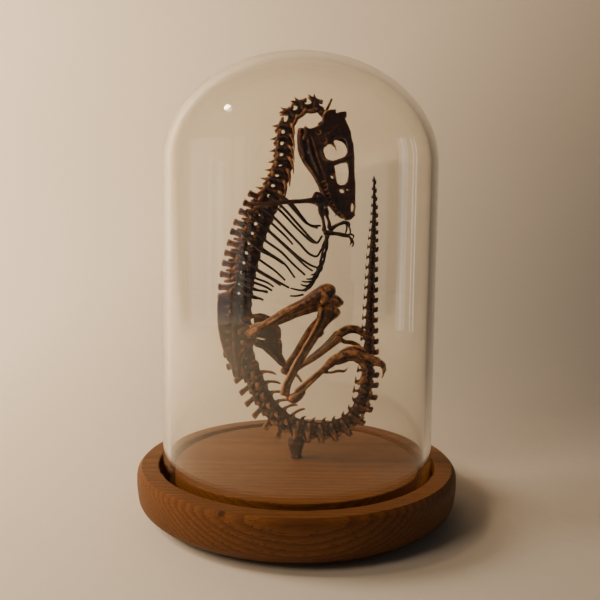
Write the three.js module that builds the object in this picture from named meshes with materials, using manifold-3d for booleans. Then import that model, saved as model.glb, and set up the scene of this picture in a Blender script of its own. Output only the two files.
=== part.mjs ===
// A glass bell jar on a turned wooden base, with a small mounted skeleton of a meat-eating
// dinosaur curled up inside it. Millimetres, +Z up, origin at the centre of the underside.
// The skeleton stands in the XZ plane, with its head and its toes towards +X.
import * as THREE from "three";
import { mergeVertices } from "three/addons/utils/BufferGeometryUtils.js";
import Module from "manifold-3d";

const wasm = await Module();
wasm.setup();

// Driving dimensions of the case.
const GAP = 0.3;
const DOME_R = 60;
const DOME_WALL = 3;
const DOME_TOP_ABOVE_BASE = 178.3;
const DOME_CAP_HEIGHT = 47.3;
const BASE_R = 71;
const BASE_THICKNESS = 20.2;
const GROOVE_MID_R = 58.15;
const GROOVE_WIDTH = 7;
const GROOVE_DEPTH = 8;
const FELT_R = 52;
const FELT_THICKNESS = 1.3;
const FELT_PROUD = 0.6;
const PEG_R = 2.5;
const PEG_HOLE_DEPTH = 8;
const PEG_ABOVE_BASE = 3.9;
const TURNED_SIDES = 48;
const HOLE_SIDES = 10;

// Driving dimensions of the skeleton, measured from the top face of the base.
const BASE_TOP = FELT_PROUD + BASE_THICKNESS;
const HALF_HIP = 4.5;
const HALF_TRUNK = 9.5;
const HALF_LEG = 9;

// The line of the backbone, from the first neck vertebra to the tip of the tail, as [x, z].
const BACKBONE = [
  [8.2, 156.6],
  [3, 156.8],
  [-3.2, 152.5],
  [-5.2, 142],
  [-5.8, 131],
  [-8.6, 121.7],
  [-13.3, 111],
  [-17.7, 100],
  [-21, 88.3],
  [-23.2, 76.5],
  [-23.8, 64.5],
  [-23.3, 54],
  [-21.6, 45.3],
  [-17.6, 34.8],
  [-12, 24.5],
  [-3.3, 17],
  [6.7, 14.4],
  [16.8, 15],
  [24.4, 19.5],
  [28.6, 27],
  [30.5, 38],
  [31.3, 56],
  [31.7, 75],
  [32.2, 94],
  [32.8, 112],
  [32.6, 126],
];

// Each stretch of the backbone is one piece: how many vertebrae, how long each is, and the sizes
// at its two ends: centrum radius, spine height, half width over the side processes, and the
// length of the chevron bones below.
const STRETCHES = [
  { name: "neck_front", count: 5, pitch: 5, r: [2, 2.6], spine: [6, 8], wing: [2.6, 3.6], keel: [0, 0] },
  { name: "neck_rear", count: 5, pitch: 5.2, r: [2.6, 2.9], spine: [8, 11], wing: [3.6, 5], keel: [0, 0] },
  { name: "back_front", count: 4, pitch: 4.5, r: [2.9, 3], spine: [12, 13], wing: [5.4, 5.8], keel: [0, 0] },
  { name: "back_middle", count: 4, pitch: 4.5, r: [3, 3.1], spine: [13, 13], wing: [5.8, 5.8], keel: [0, 0] },
  { name: "back_rear", count: 4, pitch: 4.5, r: [3.1, 3.2], spine: [13, 12.4], wing: [5.8, 5.4], keel: [0, 0] },
  { name: "hip_vertebrae", count: 5, pitch: 4.8, r: [3.2, 3.4], spine: [12, 11], wing: [3.6, 3.6], keel: [0, 0] },
  { name: "tail_root", count: 6, pitch: 5.4, r: [3.5, 3.4], spine: [10.6, 10], wing: [8, 7], keel: [6, 8.5] },
  { name: "tail_bend", count: 7, pitch: 5.4, r: [3.3, 2.8], spine: [9.7, 8.8], wing: [6.6, 4.6], keel: [6.4, 3.6] },
  { name: "tail_rise", count: 7, pitch: 5, r: [2.6, 1.9], spine: [8, 3.8], wing: [4.2, 2], keel: [3.8, 3.4] },
  { name: "tail_upper", count: 8, pitch: 4.6, r: [1.8, 1.2], spine: [3.5, 2.3], wing: [1.9, 1.3], keel: [3, 2] },
  { name: "tail_tip", count: 8, pitch: 3.7, r: [1.1, 0.5], spine: [1.9, 0.9], wing: [1.2, 0.6], keel: [1.6, 0.8] },
];

// Trunk ribs from front to rear: length, and the angle below the horizontal in degrees.
const RIB_LENGTHS = [24, 27, 29, 31, 29, 25, 21, 19, 14, 10];
const RIB_ANGLES = [44, 44, 43, 42, 41, 41, 40, 34, 30, 25];
const RIB_R = 0.75;

const glass = new THREE.MeshStandardMaterial({
  color: 0xeef2ee,
  roughness: 0.03,
  metalness: 0,
  transparent: true,
  opacity: 0.25,
});
const wood = new THREE.MeshStandardMaterial({ color: 0x8a5a2c, roughness: 0.55, metalness: 0 });
const felt = new THREE.MeshStandardMaterial({ color: 0x2c2a27, roughness: 0.95, metalness: 0 });
const bone = new THREE.MeshStandardMaterial({ color: 0x5c3420, roughness: 0.45, metalness: 0 });

// A closed geometry as a manifold-3d solid, turned so that its faces point outwards.
function solidOf(geometry) {
  const plain = geometry.clone();
  plain.deleteAttribute("normal");
  plain.deleteAttribute("uv");
  const merged = mergeVertices(plain, 1e-4);
  const triVerts = new Uint32Array(merged.index.array);
  const vertProperties = new Float32Array(merged.attributes.position.array);
  const made = new wasm.Manifold(new wasm.Mesh({ numProp: 3, vertProperties, triVerts }));
  if (made.volume() > 0) return made;
  for (let i = 0; i < triVerts.length; i += 3) {
    [triVerts[i + 1], triVerts[i + 2]] = [triVerts[i + 2], triVerts[i + 1]];
  }
  return new wasm.Manifold(new wasm.Mesh({ numProp: 3, vertProperties, triVerts }));
}

function joined(solids) {
  return solids.reduce((all, one) => all.add(one));
}

function node(name, solid, material) {
  const mesh = solid.getMesh();
  const geometry = new THREE.BufferGeometry();
  geometry.setAttribute("position", new THREE.BufferAttribute(mesh.vertProperties, 3));
  geometry.setIndex(new THREE.BufferAttribute(mesh.triVerts, 1));
  geometry.computeVertexNormals();
  const made = new THREE.Mesh(geometry, material);
  made.name = name;
  return made;
}

// A turned piece from its [radius, height] profile, with its axis along +Z.
function turned(profile) {
  const points = profile.map(([r, z]) => new THREE.Vector2(r, z));
  return solidOf(new THREE.LatheGeometry(points, TURNED_SIDES).rotateX(Math.PI / 2));
}

// A closed skin over rings of equally many points, with a fan over each end.
function loft(rings) {
  const sides = rings[0].length;
  const positions = rings.flat().flatMap((p) => [p.x, p.y, p.z]);
  const faces = [];
  for (let i = 0; i + 1 < rings.length; i += 1) {
    for (let j = 0; j < sides; j += 1) {
      const a = i * sides + j;
      const b = i * sides + ((j + 1) % sides);
      faces.push(a, b, a + sides, b, b + sides, a + sides);
    }
  }
  const last = (rings.length - 1) * sides;
  for (let j = 1; j + 1 < sides; j += 1) {
    faces.push(0, j + 1, j, last, last + j, last + j + 1);
  }
  const geometry = new THREE.BufferGeometry();
  geometry.setAttribute("position", new THREE.Float32BufferAttribute(positions, 3));
  geometry.setIndex(faces);
  return solidOf(geometry);
}

// One ring of a bone: an ellipse across the bone's run, `wide` in the XZ plane and `deep` in Y.
const LATERAL = new THREE.Vector3(0, 1, 0);
function ring(centre, along, wide, deep, sides) {
  const across = new THREE.Vector3().crossVectors(along, LATERAL).normalize();
  const out = new THREE.Vector3().crossVectors(across, along).normalize();
  return Array.from({ length: sides }, (_, j) => {
    const angle = (2 * Math.PI * (j + 0.5)) / sides;
    return centre
      .clone()
      .addScaledVector(across, wide * Math.cos(angle))
      .addScaledVector(out, deep * Math.sin(angle));
  });
}

function between(values, share) {
  const place = share * (values.length - 1);
  const i = Math.min(Math.floor(place), values.length - 2);
  return THREE.MathUtils.lerp(values[i], values[i + 1], place - i);
}

// A long bone: a rod through [x, y, z] points whose radius follows `radii` from end to end.
// `flat` is its depth in Y as a share of its width.
function rod(points, radii, { flat = 1, sides = 6, steps = 6 } = {}) {
  const curve = new THREE.CatmullRomCurve3(points.map((p) => new THREE.Vector3(...p)));
  const rings = [];
  for (let i = 0; i <= steps; i += 1) {
    const share = i / steps;
    const wide = between(radii, share);
    rings.push(ring(curve.getPointAt(share), curve.getTangentAt(share), wide, wide * flat, sides));
  }
  return loft(rings);
}

// A flat bone: an outline of [x, z] points, cut from a sheet centred on the plane y.
function plate(outline, y, thickness, holes = []) {
  const shape = new THREE.Shape(outline.map(([x, z]) => new THREE.Vector2(x, z)));
  for (const [x, z, rx, rz] of holes) {
    const oval = Array.from({ length: HOLE_SIDES }, (_, i) => {
      const angle = (2 * Math.PI * i) / HOLE_SIDES;
      return new THREE.Vector2(x + rx * Math.cos(angle), z + rz * Math.sin(angle));
    });
    shape.holes.push(new THREE.Path(oval));
  }
  const made = new THREE.ExtrudeGeometry(shape, { depth: thickness, bevelEnabled: false });
  return made.rotateX(Math.PI / 2).translate(0, y + thickness / 2, 0);
}

function glassDome() {
  const rim = BASE_TOP - GROOVE_DEPTH + GAP;
  const shoulder = BASE_TOP + DOME_TOP_ABOVE_BASE - DOME_CAP_HEIGHT;
  const arcPoints = 9;
  const cap = (radius, height) =>
    Array.from({ length: arcPoints + 1 }, (_, i) => {
      const angle = (i / arcPoints) * (Math.PI / 2);
      return [i === arcPoints ? 0 : radius * Math.cos(angle), shoulder + height * Math.sin(angle)];
    });
  const inner = cap(DOME_R - DOME_WALL, DOME_CAP_HEIGHT - DOME_WALL).reverse();
  const outer = cap(DOME_R, DOME_CAP_HEIGHT);
  const profile = [...inner, [DOME_R - DOME_WALL, rim], [DOME_R, rim], ...outer];
  return node("glass_dome", turned(profile), glass);
}

function woodenBase() {
  const under = FELT_PROUD;
  const recess = FELT_THICKNESS + GAP;
  const grooveIn = GROOVE_MID_R - GROOVE_WIDTH / 2;
  const grooveOut = GROOVE_MID_R + GROOVE_WIDTH / 2;
  const floor = BASE_TOP - GROOVE_DEPTH;
  const undercut = 10.5;
  const profile = [
    [0, recess],
    [FELT_R + GAP, recess],
    [FELT_R + GAP, under],
    [BASE_R - undercut, under],
    [BASE_R - 4.1, under + 3],
    [BASE_R - 1.1, under + 6.1],
    [BASE_R - 0.3, under + 10.1],
    [BASE_R, under + 14.1],
    [BASE_R - 0.5, BASE_TOP - 1],
    [BASE_R - 1.3, BASE_TOP],
    [grooveOut, BASE_TOP],
    [grooveOut, floor],
    [grooveIn, floor],
    [grooveIn, BASE_TOP],
    [PEG_R + GAP, BASE_TOP],
    [PEG_R + GAP, BASE_TOP - PEG_HOLE_DEPTH],
    [0, BASE_TOP - PEG_HOLE_DEPTH],
  ];
  return node("wooden_base", turned(profile), wood);
}

function baseFelt() {
  const profile = [
    [0, 0],
    [FELT_R, 0],
    [FELT_R, FELT_THICKNESS],
    [0, FELT_THICKNESS],
  ];
  return node("base_felt", turned(profile), felt);
}

function mountingPeg() {
  const foot = GAP - PEG_HOLE_DEPTH;
  const geometry = new THREE.CylinderGeometry(PEG_R, PEG_R, PEG_ABOVE_BASE - foot, 16);
  geometry.rotateX(Math.PI / 2).translate(0, 0, (PEG_ABOVE_BASE + foot) / 2);
  return node("mounting_peg", solidOf(geometry), bone);
}

const backboneCurve = new THREE.CatmullRomCurve3(
  BACKBONE.map(([x, z]) => new THREE.Vector3(x, 0, z)),
);
const backboneLength = backboneCurve.getLength();
const nominalLength = STRETCHES.reduce((sum, s) => sum + s.count * s.pitch, 0);
const pitchScale = backboneLength / nominalLength;

// Where the backbone is, which way it runs, and which way its spines point, at a distance along it.
function backboneAt(distance) {
  const share = THREE.MathUtils.clamp(distance / backboneLength, 0, 1);
  const at = backboneCurve.getPointAt(share);
  const along = backboneCurve.getTangentAt(share);
  const dorsal = new THREE.Vector3(along.z, 0, -along.x);
  return { at, along, dorsal };
}

// A thin upright blade on the backbone, from one height to another along its dorsal direction.
function blade(distance, from, to, length, thickness) {
  const { at, along, dorsal } = backboneAt(distance);
  const geometry = new THREE.BoxGeometry(Math.abs(to - from), thickness, length);
  const turn = new THREE.Matrix4().makeBasis(dorsal, LATERAL, along);
  geometry.applyMatrix4(turn);
  const mid = at.clone().addScaledVector(dorsal, (from + to) / 2);
  return solidOf(geometry.translate(mid.x, mid.y, mid.z));
}

// One stretch of the backbone: a waisted row of centra with a spine, a cross bar for the two
// side processes, and on the tail a chevron bone for each vertebra.
function vertebrae(stretch, start) {
  const pitch = stretch.pitch * pitchScale;
  const rings = [];
  const extras = [];
  for (let i = 0; i < stretch.count; i += 1) {
    const share = i / (stretch.count - 1);
    const r = between(stretch.r, share);
    const front = start + i * pitch;
    const waist = front + pitch / 2;
    const trim = i === 0 ? GAP : 0;
    const stations = [
      [front + trim, r],
      [waist, r * 0.8],
    ];
    if (i === stretch.count - 1) stations.push([front + pitch - GAP, r]);
    for (const [distance, radius] of stations) {
      const { at, along } = backboneAt(distance);
      rings.push(ring(at, along, radius, radius * 0.85, 6));
    }
    extras.push(blade(waist, 0, between(stretch.spine, share), pitch * 0.55, 1.3));
    const wing = between(stretch.wing, share);
    if (wing > r + 0.4) extras.push(blade(waist, r * 0.5, r * 0.5 + 1.4, pitch * 0.4, 2 * wing));
    const keel = between(stretch.keel, share);
    if (keel > 0) extras.push(blade(waist, 0, -keel, pitch * 0.3, 1));
  }
  return node(stretch.name, joined([loft(rings), ...extras]), bone);
}

function backbone() {
  let start = 0;
  return STRETCHES.map((stretch) => {
    const made = vertebrae(stretch, start);
    start += stretch.count * stretch.pitch * pitchScale;
    return made;
  });
}

// Trunk ribs, a left and a right one on each back vertebra, bowed out round the body.
function ribs() {
  const [neckFront, neckRear, back] = STRETCHES;
  const neckLength = (neckFront.count * neckFront.pitch + neckRear.count * neckRear.pitch) * pitchScale;
  return RIB_LENGTHS.flatMap((length, i) => {
    const { at, dorsal } = backboneAt(neckLength + (i + 0.5) * back.pitch * pitchScale);
    const angle = THREE.MathUtils.degToRad(RIB_ANGLES[i]);
    const head = at.clone().addScaledVector(dorsal, 2);
    const point = (share, y) => [
      head.x + length * share * Math.cos(angle) + 0.8 * Math.sin(Math.PI * share),
      y,
      head.z - length * share * Math.sin(angle),
    ];
    return [-1, 1].map((side) => {
      const path = [
        point(0, side * 6.4),
        point(0.2, side * 8.8),
        point(0.5, side * HALF_TRUNK),
        point(0.8, side * 7.6),
        point(1, side * 4.8),
      ];
      const name = `rib_${side < 0 ? "right" : "left"}_${String(i + 1).padStart(2, "0")}`;
      return node(name, rod(path, [RIB_R, RIB_R, RIB_R * 0.7], { sides: 5, steps: 7 }), bone);
    });
  });
}

function bellyRibs() {
  const path = [
    [13.1, 0, 100.7],
    [12.3, 0, 96.7],
    [11.5, 0, 90.9],
    [8, 0, 83.3],
    [2.7, 0, 76.5],
  ];
  return node("belly_ribs", rod(path, [0.9, 1.1, 1.1, 0.9], { flat: 2.6 }), bone);
}

const SKULL_OUTLINE = [
  [14.8, 155.3],
  [19.3, 154.7],
  [19.5, 150],
  [21.6, 146.5],
  [23, 139],
  [23.7, 131],
  [24.4, 120],
  [24.5, 113.5],
  [22.8, 109.2],
  [20.8, 110.2],
  [16.9, 113.8],
  [14.2, 118.5],
  [11.6, 124.1],
  [9.4, 131],
  [6.4, 138],
  [4, 142.6],
  [5.4, 146.5],
  [10, 149.6],
  [11.4, 153],
];
const SKULL_HOLES = [
  [15.6, 138.2, 4.3, 4.6],
  [18.3, 128, 2.3, 3.6],
];

// The skull narrows from the cheeks to the snout.
function skull() {
  const geometry = plate(SKULL_OUTLINE, 0, 2, SKULL_HOLES);
  const place = geometry.attributes.position;
  for (let i = 0; i < place.count; i += 1) {
    const share = THREE.MathUtils.clamp((place.getZ(i) - 109) / 36, 0, 1);
    place.setY(i, place.getY(i) * THREE.MathUtils.lerp(2.4, 6.5, share));
  }
  return node("skull", solidOf(geometry), bone);
}

function lowerJaw() {
  const half = [
    [0.4, 6.4, 144],
    [0.2, 6.2, 137.5],
    [4.2, 5.2, 129.5],
    [9.6, 3.4, 120],
    [14, 1.8, 112.6],
    [17.8, 0.2, 108.9],
  ];
  const sides = [-1, 1].map((side) =>
    rod(
      half.map(([x, y, z]) => [x, side * y, z]),
      [1.6, 2, 1.6, 1.3, 1],
      { flat: 0.5, steps: 8 },
    ),
  );
  return node("lower_jaw", joined(sides), bone);
}

// Shoulders and arms. The right side, towards -Y, hangs a little lower than the left.
function shoulderAndArm(side) {
  const right = side < 0;
  const label = right ? "right" : "left";
  const y = (value) => side * value;
  const shoulder = right ? [9.1, 114] : [11.4, 115];
  const elbow = right ? [10.2, 102] : [13.7, 104.5];
  const wrist = right ? [19.4, 100.8] : [20.2, 107.2];
  const knuckle = right ? [22.6, 100] : [23, 105.2];
  const tip = right ? [23.3, 96.4] : [23.6, 101.8];
  const scapulaPath = [
    [-19.2, y(10.8), 112.6],
    [-7.9, y(11.2), 114.4],
    [2.6, y(10.8), 115.2],
    [shoulder[0] - 1.4, y(8), 117.2],
  ];
  const humerus = rod(
    [
      [shoulder[0], y(8), shoulder[1]],
      [elbow[0] + 0.4, y(8.6), elbow[1] + 5],
      [elbow[0], y(8.8), elbow[1] + 0.9],
    ],
    [1.7, 1.1, 1.2],
  );
  const forearm = rod(
    [
      [elbow[0] + 0.9, y(8.8), elbow[1] - 0.7],
      [(elbow[0] + wrist[0]) / 2, y(8.6), (elbow[1] + wrist[1]) / 2],
      [wrist[0], y(8.2), wrist[1]],
    ],
    [1.2, 0.8, 0.9],
  );
  const hand = rod(
    [
      [wrist[0] + 0.9, y(8.2), wrist[1] - 0.2],
      [knuckle[0], y(8), knuckle[1]],
      [tip[0], y(7.6), tip[1]],
    ],
    [1, 0.8, 0.3],
    { flat: 1.6 },
  );
  return [
    node(`shoulder_blade_${label}`, rod(scapulaPath, [2, 1.6, 1.6, 3], { flat: 0.35 }), bone),
    node(`upper_arm_${label}`, humerus, bone),
    node(`forearm_${label}`, forearm, bone),
    node(`hand_${label}`, hand, bone),
  ];
}

const ILIUM_OUTLINE = [
  [-35.7, 74],
  [-29.5, 73.5],
  [-27, 66],
  [-24.5, 61],
  [-20.8, 58.5],
  [-20.2, 52.5],
  [-22.5, 46],
  [-25.5, 39.5],
  [-28.5, 41],
  [-31, 44],
  [-33.5, 50.5],
  [-35.2, 58],
  [-36, 66],
];

function hips() {
  const pubis = rod(
    [
      [-19.4, 0, 58.5],
      [-14.6, 0, 62.4],
      [-9.4, 0, 61],
    ],
    [1.9, 1.6, 2.2],
    { flat: 1.8 },
  );
  const ischium = rod(
    [
      [-17.8, 0, 53.2],
      [-12.6, 0, 49],
      [-6.4, 0, 41.4],
    ],
    [2.6, 2.2, 1.2],
    { flat: 1.2 },
  );
  return [
    node("ilium_right", solidOf(plate(ILIUM_OUTLINE, -HALF_HIP, 1.4)), bone),
    node("ilium_left", solidOf(plate(ILIUM_OUTLINE, HALF_HIP, 1.4)), bone),
    node("pubis", pubis, bone),
    node("ischium", ischium, bone),
  ];
}

// The folded legs. `knee` is the end of the thigh, and the shin starts under it.
const LEGS = {
  right: {
    hip: [-21.6, 57.6],
    knee: [12.4, 76.4],
    shin: [14.8, 69.8],
    ankle: [-4.6, 31.6],
    toes: [18.4, 48],
  },
  left: {
    hip: [-21.6, 57.6],
    knee: [16, 70.8],
    shin: [14.6, 63.8],
    ankle: [-5.8, 39.2],
    toes: [19.3, 55.8],
  },
};

function leg(side) {
  const label = side < 0 ? "right" : "left";
  const { hip, knee, shin, ankle, toes } = LEGS[label];
  const at = ([x, z], y, dx = 0, dz = 0) => [x + dx, side * y, z + dz];
  const middle = ([x0, z0], [x1, z1], y) => [(x0 + x1) / 2, side * y, (z0 + z1) / 2];
  const thigh = rod(
    [at(hip, HALF_LEG), middle(hip, knee, HALF_LEG + 0.6), at(knee, 10)],
    [3, 2.2, 2.6, 3.6],
  );
  const shinRod = rod(
    [at(shin, 10), middle(shin, ankle, 9.6), at(ankle, 9, -0.5, 1.4)],
    [3.4, 1.9, 1.7, 2],
  );
  const instep = rod(
    [at(ankle, 9, 3.4, -1.5), middle(ankle, toes, 8.8), at(toes, 8.6, -1, -0.6)],
    [2.1, 1.7, 2.1],
    { flat: 1.3 },
  );
  const toe = (y, drop, reach) =>
    rod(
      [
        at(toes, 8.6, 0, 0.4),
        at(toes, 8.6 + y * 0.6, reach * 0.35, 3 - drop * 0.2),
        at(toes, 8.6 + y, reach * 0.75, 1.2 - drop),
        at(toes, 8.6 + y, reach, -6 - drop),
      ],
      [1.9, 1.5, 1.3, 0.4],
    );
  const foot = joined([toe(-2.8, 1.6, 15), toe(0, 0, 18.6), toe(3, 2.4, 10.5)]);
  return [
    node(`thigh_${label}`, thigh, bone),
    node(`shin_${label}`, shinRod, bone),
    node(`instep_${label}`, instep, bone),
    node(`foot_${label}`, foot, bone),
  ];
}

const skeleton = new THREE.Group();
skeleton.position.z = BASE_TOP;
skeleton.add(mountingPeg(), ...backbone(), skull(), lowerJaw(), ...ribs(), bellyRibs());
skeleton.add(...shoulderAndArm(-1), ...shoulderAndArm(1), ...hips(), ...leg(-1), ...leg(1));

const display = new THREE.Group();
display.add(woodenBase(), baseFelt(), glassDome(), skeleton);

export default display;
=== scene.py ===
import math

import bmesh
import bpy
import numpy as np
from mathutils import Matrix, Vector, noise
from mathutils.geometry import delaunay_2d_cdt


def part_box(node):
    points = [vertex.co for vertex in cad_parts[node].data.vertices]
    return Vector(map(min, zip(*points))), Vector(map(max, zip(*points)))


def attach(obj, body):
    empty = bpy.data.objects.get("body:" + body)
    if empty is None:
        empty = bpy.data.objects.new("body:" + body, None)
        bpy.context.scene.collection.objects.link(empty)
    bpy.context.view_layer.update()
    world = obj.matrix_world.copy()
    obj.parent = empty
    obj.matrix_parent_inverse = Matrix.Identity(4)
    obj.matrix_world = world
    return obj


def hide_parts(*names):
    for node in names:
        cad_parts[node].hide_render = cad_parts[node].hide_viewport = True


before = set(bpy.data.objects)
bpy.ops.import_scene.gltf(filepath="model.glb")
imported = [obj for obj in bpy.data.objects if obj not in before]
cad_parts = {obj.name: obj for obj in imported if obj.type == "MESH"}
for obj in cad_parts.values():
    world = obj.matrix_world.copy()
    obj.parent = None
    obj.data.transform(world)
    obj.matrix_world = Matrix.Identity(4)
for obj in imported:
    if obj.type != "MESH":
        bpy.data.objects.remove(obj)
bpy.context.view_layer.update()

# ---------------------------------------------------------------------------------------------
# Wooden base: a disc of open-grained oak, turned on a lathe, with a groove for the glass and a
# soft shoulder, sanded and oiled. The board's heart lay below it and along X, so the rings run
# as long lines over the top and as arcs on the end grain at the left and the right.
MM = 0.001
BASE_SIDES = 192
base_low, base_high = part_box("wooden_base")
BASE_TOP = base_high[2]
BASE_R = base_high[0]
DOME_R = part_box("glass_dome")[1][0]
DOME_WALL = 3 * MM
GROOVE_CLEARANCE = 1.65 * MM
GROOVE_IN = DOME_R - DOME_WALL - 2.35 * MM
GROOVE_OUT = DOME_R + GROOVE_CLEARANCE
GROOVE_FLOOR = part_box("glass_dome")[0][2] - 0.3 * MM
PEG_HOLE_R = 2.8 * MM
PEG_HOLE_FLOOR = BASE_TOP - 8 * MM


def linear(hex_colour):
    """A hex sRGB colour as linear RGBA."""
    channels = [int(hex_colour[i : i + 2], 16) / 255 for i in (1, 3, 5)]
    return (*[c / 12.92 if c <= 0.04045 else ((c + 0.055) / 1.055) ** 2.4 for c in channels], 1)


def add(tree, kind, inputs=None, **settings):
    """Adds a node. Each input, by name or number, is a value or the output that feeds it."""
    node = tree.nodes.new(kind)
    for key, value in settings.items():
        setattr(node, key, value)
    for key, value in (inputs or {}).items():
        if isinstance(value, bpy.types.NodeSocket):
            tree.links.new(value, node.inputs[key])
        else:
            node.inputs[key].default_value = value
    return node


def smooth(path, every=0.7):
    """Points every so many mm on one smooth curve through the given ones. Columns past the place follow."""
    knots = np.array(path, float)
    places = 3 if knots.shape[1] > 2 else 2
    gaps = np.linalg.norm(np.diff(knots[:, :places], axis=0), axis=1)
    at = np.concatenate([[0], np.cumsum(gaps)])
    slopes = np.gradient(knots, at, axis=0)
    where = np.linspace(0, at[-1], max(2, round(at[-1] / every)) + 1)
    i = np.clip(np.searchsorted(at, where, "right") - 1, 0, len(gaps) - 1)
    h = gaps[i][:, None]
    u = (where - at[i])[:, None] / h
    start = (2 * u**3 - 3 * u**2 + 1) * knots[i] + (u**3 - 2 * u**2 + u) * slopes[i] * h
    return start + (3 * u**2 - 2 * u**3) * knots[i + 1] + (u**3 - u**2) * slopes[i + 1] * h


def shown(name, mesh, finish, body, nodes):
    """Puts a finished mesh in the scene as the piece that stands for its CAD nodes."""
    piece = bpy.data.objects.new(name, mesh)
    bpy.context.collection.objects.link(piece)
    mesh.materials.clear()
    mesh.materials.append(finish)
    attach(piece, body)
    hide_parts(*nodes)
    return piece


def braced(profile, beside=0.25 * MM, every=6 * MM, shortest=3 * MM):
    """The profile with more points beside its corners and along its long runs, so that it shades true."""
    points = [profile[0]]
    for (r0, z0), (r1, z1) in zip(profile, profile[1:]):
        length = math.hypot(r1 - r0, z1 - z0)
        if length > shortest:
            count = max(1, round(length / every))
            shares = [beside / length, *[k / count for k in range(1, count)], 1 - beside / length]
            points += [(r0 + (r1 - r0) * t, z0 + (z1 - z0) * t) for t in shares]
        points.append((r1, z1))
    return points


def turned(name, profile, sides, sharp=35):
    """A closed mesh turned round Z from a [radius, height] profile that starts and ends on the axis."""
    work = bmesh.new()
    rings = []
    for radius, height in braced(profile):
        count = 1 if radius < 1e-6 else sides
        turn = [2 * math.pi * k / sides for k in range(count)]
        rings.append([work.verts.new((radius * math.cos(a), radius * math.sin(a), height)) for a in turn])
    for low, high in zip(rings, rings[1:]):
        for k in range(sides):
            corners = [low[k % len(low)], low[(k + 1) % len(low)]]
            corners += [high[(k + 1) % len(high)], high[k % len(high)]]
            work.faces.new(list(dict.fromkeys(corners)))
    bmesh.ops.recalc_face_normals(work, faces=work.faces)
    for edge in work.edges:
        edge.smooth = edge.calc_face_angle(0) < math.radians(sharp)
    for face in work.faces:
        face.smooth = True
    mesh = bpy.data.meshes.new(name)
    work.to_mesh(mesh)
    work.free()
    return mesh


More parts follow.
